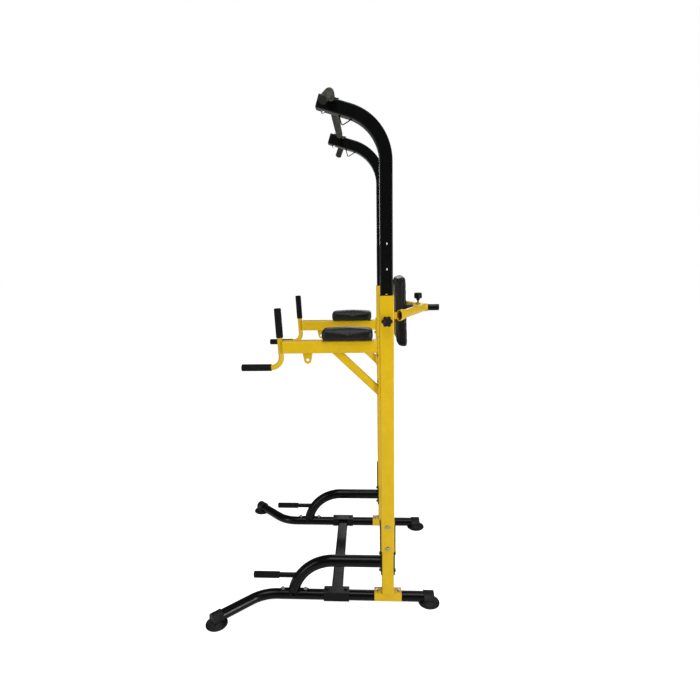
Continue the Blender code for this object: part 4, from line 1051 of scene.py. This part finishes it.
def add_outer_foam(bm, side):
    add_foam(bm, outer_foam_path(side), bar_plane(), 0.012, 0.0)


def add_bar_cap(bm, side):
    corners = bar_corners()
    tip, corner = (corners[3], corners[2]) if side > 0 else (corners[0], corners[1])
    out = (tip - corner).normalized()
    lip = BAR_FOAM_RADIUS + 0.0004
    plug = BAR_RADIUS - TUBE_WALL
    profile = [(-0.010, plug), (GAP, plug), (GAP, lip - 0.0008), (0.0008, lip), (0.0026, lip),
               (0.0036, lip - 0.0009), (0.0043, lip - 0.0032), (0.0045, lip - 0.0080)]
    add_turned(bm, profile, tip, out, 56)


def build_bar():
    body = "pull_up_frame"
    piece("bar_tube", BLACK, body, add_bar, ["pull_up_bar"], 0)
    seat = neck_point(0, BAR_AHEAD, BAR_LIFT)
    ends = [seat - X_AXIS * FOAM_CENTRE_HALF, seat + X_AXIS * FOAM_CENTRE_HALF]
    piece("centre_foam", BAR_FOAM, body, lambda bm: add_foam(bm, ends, bar_plane(), 0.026, 0.026),
          ["bar_foam_centre"], 0)
    for label, _ in SIDES:
        side_piece("end_foam", label, BAR_FOAM, body, add_outer_foam, ["bar_foam_outer"], 0)
        side_piece("bar_cap", label, PLASTIC, body, add_bar_cap, ["bar_end_cap"], 0)


# ---------------------------------------------------------------- dip arms
def handle_corners(side):
    """Upright handle, its bend and the forward handle."""
    x = side * FRAME_X
    lean = tan(HANDLE_LEAN)
    top = at(x, HANDLE_Y - lean * (HANDLE_TOP_Z - ARM_Z), HANDLE_TOP_Z)
    corner = at(x, HANDLE_Y + lean * (ARM_Z - FORWARD_GRIP_Z), FORWARD_GRIP_Z)
    return [top, corner, at(x, FORWARD_GRIP_TIP_Y + GRIP_END, FORWARD_GRIP_Z)]


def flange_y():
    return -UPRIGHT_WIDTH / 2 - GAP


def add_strut(bm, side):
    """Sloping square strut, its lower end cut to lie on the flange and its upper end on the arm."""
    x = side * FRAME_X
    front = Vector((STRUT_FRONT_Y, ARM_Z - ARM_WIDTH / 2))
    rear = Vector((flange_y() - FLANGE_THICKNESS, STRUT_REAR_Z))
    slope = (rear - front).normalized()
    square = Vector((-slope.y, slope.x))
    outline = rounded_box(STRUT_WIDTH, STRUT_WIDTH, 0.004)
    rings = []
    for end in (0, 1):
        ring = []
        for a, b in outline:
            start = front + square * b
            travel = (front.y - start.y) / slope.y if end == 0 else (rear.x - start.x) / slope.x
            spot = start + slope * travel
            ring.append(at(x + a, spot.x, spot.y))
        rings.append(ring)
    skin(bm, [[bm.verts.new(p) for p in ring] for ring in rings])
    for ring in rings:
        add_bead(bm, ring)


def add_eye(bm, side):
    """Tab under the arm, with a flared top, a round end and a hole."""
    top = ARM_Z - ARM_WIDTH / 2 + 0.001 - EYE_Z
    half = EYE_WIDTH / 2
    outer = [(-half - 0.0030, top), (-half, top - 0.0060)]
    nose = 0.76 * half
    outer += [(-nose * cos(pi * i / 20), -0.8 * half * sin(pi * i / 20)) for i in range(21)]
    outer += [(half, top - 0.0060), (half + 0.0030, top)]
    centre = at(side * FRAME_X, EYE_Y, EYE_Z)
    sheets = []
    for outline in (outer, circle(EYE_HOLE_RADIUS, 32)):
        sheets.append([[bm.verts.new(centre + X_AXIS * face + Y_AXIS * a + Z_AXIS * b) for a, b in outline]
                       for face in (-EYE_THICKNESS / 2, EYE_THICKNESS / 2)])
        skin(bm, sheets[-1])
    for ring, bore in zip(*sheets):
        edges = [bm.edges.get((loop[i], loop[i - 1])) for loop in (ring, bore) for i in range(len(loop))]
        bmesh.ops.triangle_fill(bm, use_beauty=True, edges=edges)


def add_arm(bm, side):
    """Arm with a closed front, strut, flange, strap eye and handle tube, with their welds."""
    x = side * FRAME_X
    back = flange_y() - FLANGE_THICKNESS
    add_sweep(bm, [at(x, ARM_FRONT_Y, ARM_Z), at(x, back + 0.001, ARM_Z)], X_AXIS,
              rounded_box(ARM_WIDTH, ARM_WIDTH, TUBE_CORNER))
    flange = rounded_box(UPRIGHT_WIDTH - 0.0005, FLANGE_TOP - FLANGE_BOTTOM, 0.004)
    centre = at(x, flange_y(), (FLANGE_BOTTOM + FLANGE_TOP) / 2)
    add_plate(bm, flange, 0.0, FLANGE_THICKNESS, -Y_AXIS, X_AXIS, centre)
    root = rounded_box(ARM_WIDTH, ARM_WIDTH, TUBE_CORNER, 4)
    add_bead(bm, loop_on_plane(root, at(x, back, ARM_Z), X_AXIS, Z_AXIS))
    add_strut(bm, side)
    add_eye(bm, side)
    eye = rounded_box(EYE_WIDTH + 0.006, EYE_THICKNESS + 0.0008, 0.0025, 3)
    add_bead(bm, loop_on_plane(eye, at(x, EYE_Y, ARM_Z - ARM_WIDTH / 2), Y_AXIS, X_AXIS), 0.0013)
    path = bent_path(handle_corners(side), HANDLE_BEND_RADIUS, 28)
    add_sweep(bm, path, X_AXIS, circle(HANDLE_RADIUS, 44))
    for across in (-1, 1):
        line = [at(x + across * 0.0098, ARM_FRONT_Y - 0.0052, ARM_Z + up)
                for up in (-0.021, -0.007, 0.007, 0.021)]
        add_bead(bm, line + [p + Y_AXIS * 0.0006 for p in reversed(line)], 0.0014)


def add_arm_bolts(bm, side):
    for name in ("arm_bolt_lower_left", "arm_bolt_upper_left"):
        seat = at(side * FRAME_X, flange_y() - FLANGE_THICKNESS, middle(name).z)
        add_hex(bm, seat, -Y_AXIS, washer=0.0085, height=0.0048)


def build_arm(label, side):
    side_piece("dip_bar", label, YELLOW, "frame", add_arm, ["dip_arm"], 0.0004)
    side_piece("flange_bolts", label, ZINC, "frame", add_arm_bolts,
               ["arm_bolt_lower", "arm_bolt_upper"], 0.0002)
    top, corner, tip = handle_corners(side)
    for name, node, end, length in (("upright_grip", "dip_grip_upright", top, DIP_GRIP_LENGTHS[0]),
                                    ("forward_grip", "dip_grip_forward", tip, DIP_GRIP_LENGTHS[1])):
        inward = (corner - end).normalized()
        start = end - inward * (GRIP_END - GAP)
        piece(f"{name}_{label}", HANDLE_FOAM, "frame", lambda bm: add_grip(bm, start, inward, length),
              [f"{node}_{label}"], 0)


# ---------------------------------------------------------------- backrest
def add_bracket(bm):
    """V of two tubes, flattened and open at the uprights, with a sleeve and a boss at its apex."""
    end_x, end_y = BRACKET_END
    for side in (1, -1):
        tip = at(side * end_x, end_y, BRACKET_Z)
        apex = at(side * 0.004, BRACKET_APEX_Y - 0.002, BRACKET_Z)
        count = 30
        path = [apex.lerp(tip, i / count) for i in range(count + 1)]
        squash = []
        for i in range(count + 1):
            t = max(0.0, min(1.0, (i / count - 0.78) / 0.14))
            flat = t * t * (3 - 2 * t)
            squash.append((1.0 + 0.26 * flat, 1.0 - 0.30 * flat))
        add_bracket_leg(bm, path, squash)
        add_bracket_boss(bm, side)
    low, high = BRACKET_SLEEVE
    add_turned_tube(bm, at(0, low, BRACKET_Z), at(0, high, BRACKET_Z), SLEEVE_OUTSIDE, SLEEVE_BORE)
    top = BRACKET_Z + SLIDE_RADIUS + 0.009
    add_rod(bm, at(0, BACK_KNOB_Y, BRACKET_Z + SLIDE_RADIUS + 0.0010), at(0, BACK_KNOB_Y, top), 0.009, 40)
    ring = circle(0.0092, 28)
    weld = [at(a, BACK_KNOB_Y + b, BRACKET_Z + sqrt(SLEEVE_OUTSIDE ** 2 - a * a)) for a, b in ring]
    add_bead(bm, weld, 0.0012)


def add_bracket_leg(bm, path, squash):
    """One tube of the V, with the slide's bore taken out of its end."""
    leg = bmesh.new()
    outer, inner = circle(BRACKET_RADIUS, 48), circle(BRACKET_RADIUS - TUBE_WALL, 48)
    add_sweep(leg, path, Z_AXIS, outer, inner, squash)
    tube = mesh_object("leg", leg)
    low, high = BRACKET_SLEEVE
    past = 0.02
    bore = rod_tool(at(0, low - past, BRACKET_Z), at(0, high + past, BRACKET_Z), SLIDE_RADIUS + 0.0006, 56)
    cut(tube, [bore])
    bm.from_mesh(tube.data)
    bpy.data.objects.remove(tube)


def add_turned_tube(bm, start, end, outer, inner, sides=56):
    axis = (end - start).normalized()
    u, v = across_axes(axis)
    rings = [[bm.verts.new(spot + (u * a + v * b)) for a, b in circle(radius, sides)]
             for spot, radius in ((start, outer), (end, outer), (end, inner), (start, inner))]
    skin(bm, rings, closed=True)


def add_bracket_boss(bm, side):
    """Short bar between the flattened end of the V and the back of the upright."""
    end_x, end_y = BRACKET_END
    rear = UPRIGHT_WIDTH / 2 + GAP
    centre = at(side * (end_x - 0.004), rear, BRACKET_Z)
    add_plate(bm, rounded_box(0.014, 0.026, 0.003), 0.0, end_y - 0.010 - rear, Y_AXIS, X_AXIS, centre)
    weld = loop_on_plane(rounded_box(0.014, 0.026, 0.003, 3), centre + Y_AXIS * 0.0012, X_AXIS, Z_AXIS)
    add_bead(bm, weld, 0.0012)


def add_slide(bm):
    back = SLIDE_REAR_Y
    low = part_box("backrest_slide")[0].y - TOWER_Y
    plate = rounded_box(0.110, 0.070, 0.008)
    add_plate(bm, plate, 0.0, PLATE_THICKNESS, Y_AXIS, X_AXIS, at(0, low, BRACKET_Z))
    add_rod(bm, at(0, low + 0.003, BRACKET_Z), at(0, back, BRACKET_Z), SLIDE_RADIUS, 56)
    ring = circle(SLIDE_RADIUS, 40)
    add_bead(bm, loop_on_plane(ring, at(0, low + PLATE_THICKNESS, BRACKET_Z), X_AXIS, Z_AXIS), 0.0014)


def add_slide_cap(bm):
    radius = SLIDE_RADIUS
    profile = [(-0.010, radius - 0.0023), (GAP, radius - 0.0023), (GAP, radius - 0.0005), (0.0008, radius),
               (0.0020, radius), (0.0027, radius - 0.0009), (0.0030, radius - 0.0030)]
    add_turned(bm, profile, at(0, SLIDE_REAR_Y, BRACKET_Z), Y_AXIS)


def add_pad_screws(bm):
    """Four screws that hold the backrest's pad to the slide's plate."""
    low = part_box("backrest_slide")[0].y - TOWER_Y + PLATE_THICKNESS
    for x in (-0.043, 0.043):
        for z in (-0.023, 0.023):
            add_dome(bm, at(x, low, BRACKET_Z + z), Y_AXIS, 0.0052, 0.0028)


def add_back_knob(bm):
    low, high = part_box("backrest_knob")
    seat = BRACKET_Z + SLIDE_RADIUS + 0.019
    add_rod(bm, at(0, BACK_KNOB_Y, low.z), at(0, BACK_KNOB_Y, seat + 0.006), 0.0040, 32)
    add_star(bm, at(0, BACK_KNOB_Y, seat), Z_AXIS, high.z - seat, (high.x - low.x) / 2)


def build_backrest():
    piece("backrest_yoke", YELLOW, "frame", add_bracket, ["backrest_bracket"], 0.0004)
    piece("slide_tube", BLACK, "backrest", add_slide, ["backrest_slide"], 0.0004)
    piece("slide_plug", PLASTIC, "backrest", add_slide_cap, ["backrest_slide_cap"], 0)
    piece("pad_screws", ZINC, "backrest", add_pad_screws, (), 0)
    piece("clamp_knob", PLASTIC, "backrest_knob", add_back_knob, ["backrest_knob"], 0)


# ---------------------------------------------------------------- pads
def soft_block(width, depth, height, corner, voxel=0.005):
    """Rounded block with even small faces, its middle at the origin."""
    bm = bmesh.new()
    bmesh.ops.create_cube(bm, size=1.0, matrix=Matrix.Diagonal((width, depth, height, 1.0)))
    bmesh.ops.bevel(bm, geom=bm.edges[:] + bm.verts[:], offset=corner, segments=4, profile=0.5,
                    affect="EDGES")
    block = mesh_object("soft_block", bm)
    remesh = block.modifiers.new("voxels", "REMESH")
    remesh.mode = "VOXEL"
    remesh.voxel_size = voxel
    bake(block)
    return block


def inflate(obj, held, pressure=4.0, cap=0.007):
    """Swells a pad by cloth simulation. held says which points the board behind it holds."""
    rest = [v.co.copy() for v in obj.data.vertices]
    group = obj.vertex_groups.new(name="board")
    group.add([i for i, co in enumerate(rest) if held(co)], 1.0, "REPLACE")
    cloth = obj.modifiers.new("stuffing", "CLOTH")
    settings = cloth.settings
    settings.use_pressure = True
    settings.uniform_pressure_force = pressure
    settings.effector_weights.gravity = 0.0
    settings.tension_stiffness = 18.0
    settings.compression_stiffness = 10.0
    settings.bending_stiffness = 0.6
    settings.vertex_group_mass = "board"
    scene = bpy.context.scene
    for number in range(1, SWELL_FRAMES + 1):
        scene.frame_set(number)
    bake(obj)
    scene.frame_set(1)
    for vertex, start in zip(obj.data.vertices, rest):
        move = vertex.co - start
        if move.length > cap:
            vertex.co = start + move * (cap / move.length)
    obj.vertex_groups.clear()


def refine(obj):
    subdivide = obj.modifiers.new("smooth", "SUBSURF")
    subdivide.levels = subdivide.render_levels = 1
    bake(obj)


def fold_depth(point, half, reach):
    """Depth of the pleats where the cover is gathered round a pad's corners."""
    corner = (abs(point.x) / half.x) ** 6 * (abs(point.y) / half.y) ** 6
    angle = atan2(point.z, abs(point.y) - half.y + reach)
    return corner * (0.5 + 0.5 * sin(angle * 16.0 + 4.0 * noise.noise(point * 30.0)))


def pleat(obj, half, amount=0.0016, reach=0.02):
    """Presses pleats into the corners, and slack ripples along the cover's lower edge."""
    normals = [v.normal.copy() for v in obj.data.vertices]
    for vertex, normal in zip(obj.data.vertices, normals):
        point = vertex.co
        depth = fold_depth(point, half, reach) * amount
        low = max(0.0, -point.z / half.z)
        ripple = low * 0.00045 * sin(point.y * 150.0 + 5.0 * noise.noise(point * 22.0))
        vertex.co = point - normal * (depth + ripple)


def finish_pad(obj, matrix, body, node):
    obj.data.transform(matrix)
    obj.data.materials.clear()
    obj.data.materials.append(VINYL)
    obj.data.shade_smooth()
    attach(obj, body)
    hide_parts(node)


def build_arm_pad(label, side):
    node = f"arm_pad_{label}"
    whole = size(node)
    start = soft_block(whole.x - 2 * SWELL, whole.y - 2 * SWELL, whole.z - SWELL, 0.015)
    start.name = f"elbow_pad_{label}"
    floor = -(whole.z - SWELL) / 2
    inflate(start, lambda co: co.z < floor + BOARD_DEPTH)
    refine(start)
    pleat(start, whole / 2)
    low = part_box(node)[0].z
    lift = low - floor
    for vertex in start.data.vertices:
        vertex.co.z = max(vertex.co.z, floor)
    centre = middle(node)
    finish_pad(start, Matrix.Translation((centre.x, centre.y, lift)), "frame", node)


def build_back_pad():
    node = "backrest_pad"
    whole = BACK_PAD_SIZE
    pad = soft_block(whole.x - 2 * SWELL, whole.y - 2 * SWELL, whole.z - SWELL, 0.012)
    pad.name = "back_cushion"
    floor = -(whole.z - SWELL) / 2
    inflate(pad, lambda co: co.z < floor + BOARD_DEPTH, cap=0.006)
    refine(pad)
    pleat(pad, whole / 2)
    for vertex in pad.data.vertices:
        vertex.co.z = max(vertex.co.z, floor)
    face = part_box("backrest_slide")[0].y
    stand = Matrix.Translation((0.0, face - 0.0012 - whole.z / 2 + 0.0008, middle(node).z))
    turn = Matrix.Rotation(PAD_TILT, 4, "X") @ Matrix.Rotation(pi / 2, 4, "X")
    finish_pad(pad, stand @ turn, "backrest", node)


# ---------------------------------------------------------------- studio
ROOM_LEVEL = 0.16
CAMERA_PLACE = (2.279, -0.0764, 1.521)
CAMERA_LENS = 25.42
CAMERA_SHIFT = (0.0177, -0.0189)


def area_light(name, spot, aim, width, height, power):
    data = bpy.data.lights.new(name, "AREA")
    data.shape = "RECTANGLE"
    data.size = width
    data.size_y = height
    data.energy = power
    light = bpy.data.objects.new(name, data)
    light.location = spot
    light.rotation_euler = (Vector(aim) - Vector(spot)).to_track_quat("-Z", "Y").to_euler()
    bpy.context.scene.collection.objects.link(light)


def build_studio():
    bpy.context.scene.view_settings.view_transform = "Standard"
    bm = bmesh.new()
    bmesh.ops.create_grid(bm, x_segments=2, y_segments=2, size=30.0)
    floor = mesh_object("studio_floor", bm)
    floor.data.materials.append(shadow_floor())
    build_world()
    centre = (0.0, TOWER_Y, 1.0)
    area_light("rear_strip", (2.3, 3.2, 1.15), centre, 0.7, 2.3, 80.0)
    area_light("front_strip", (2.6, -3.0, 1.7), centre, 0.7, 3.0, 48.0)
    area_light("top", (1.4, 0.2, 4.4), centre, 2.2, 2.8, 90.0)
    area_light("far_side", (-3.2, 0.6, 2.6), centre, 1.8, 2.2, 22.0)


def build_world():
    """White to the camera, dimmer as a source of light, so that black paint stays black."""
    world = bpy.data.worlds.new("studio")
    world.use_nodes = True
    tree = world.node_tree
    backdrop = tree.nodes["Background"]
    backdrop.inputs["Color"].default_value = (1.0, 1.0, 1.0, 1.0)
    path = tree.nodes.new("ShaderNodeLightPath")
    level = tree.nodes.new("ShaderNodeMapRange")
    level.inputs["To Min"].default_value = ROOM_LEVEL
    level.inputs["To Max"].default_value = 1.0
    tree.links.new(path.outputs["Is Camera Ray"], level.inputs["Value"])
    tree.links.new(level.outputs["Result"], backdrop.inputs["Strength"])
    bpy.context.scene.world = world


def build_camera():
    """Eye-level view from the tower's left, turned a little to the front and down."""
    heading, pitch, roll = radians(-3.52), radians(9.49), radians(-1.22)
    forward = Vector((-cos(heading) * cos(pitch), sin(heading) * cos(pitch), -sin(pitch)))
    right = forward.cross(Z_AXIS).normalized()
    up = right.cross(forward)
    right, up = right * cos(roll) + up * sin(roll), up * cos(roll) - right * sin(roll)
    data = bpy.data.cameras.new("camera")
    data.sensor_width = 36.0
    data.lens = CAMERA_LENS
    data.shift_x, data.shift_y = CAMERA_SHIFT
    camera = bpy.data.objects.new("camera", data)
    turn = Matrix((right, up, -forward)).transposed().to_4x4()
    camera.matrix_world = Matrix.Translation(at(*CAMERA_PLACE)) @ turn
    bpy.context.scene.collection.objects.link(camera)
    bpy.context.scene.camera = camera


# ---------------------------------------------------------------- assembly
for label, side in SIDES:
    build_base(label, side)
    build_brace(label, side)
    build_upright(label, side)
    build_gooseneck(label, side)
    build_neck_end(label)
    build_arm(label, side)
    build_arm_pad(label, side)
piece("rail_tie", BLACK, "frame", add_crossbar, ["crossbar"], 0.0005)
build_bar()
build_backrest()
build_back_pad()
build_studio()
build_camera()

bpy.context.view_layer.update()
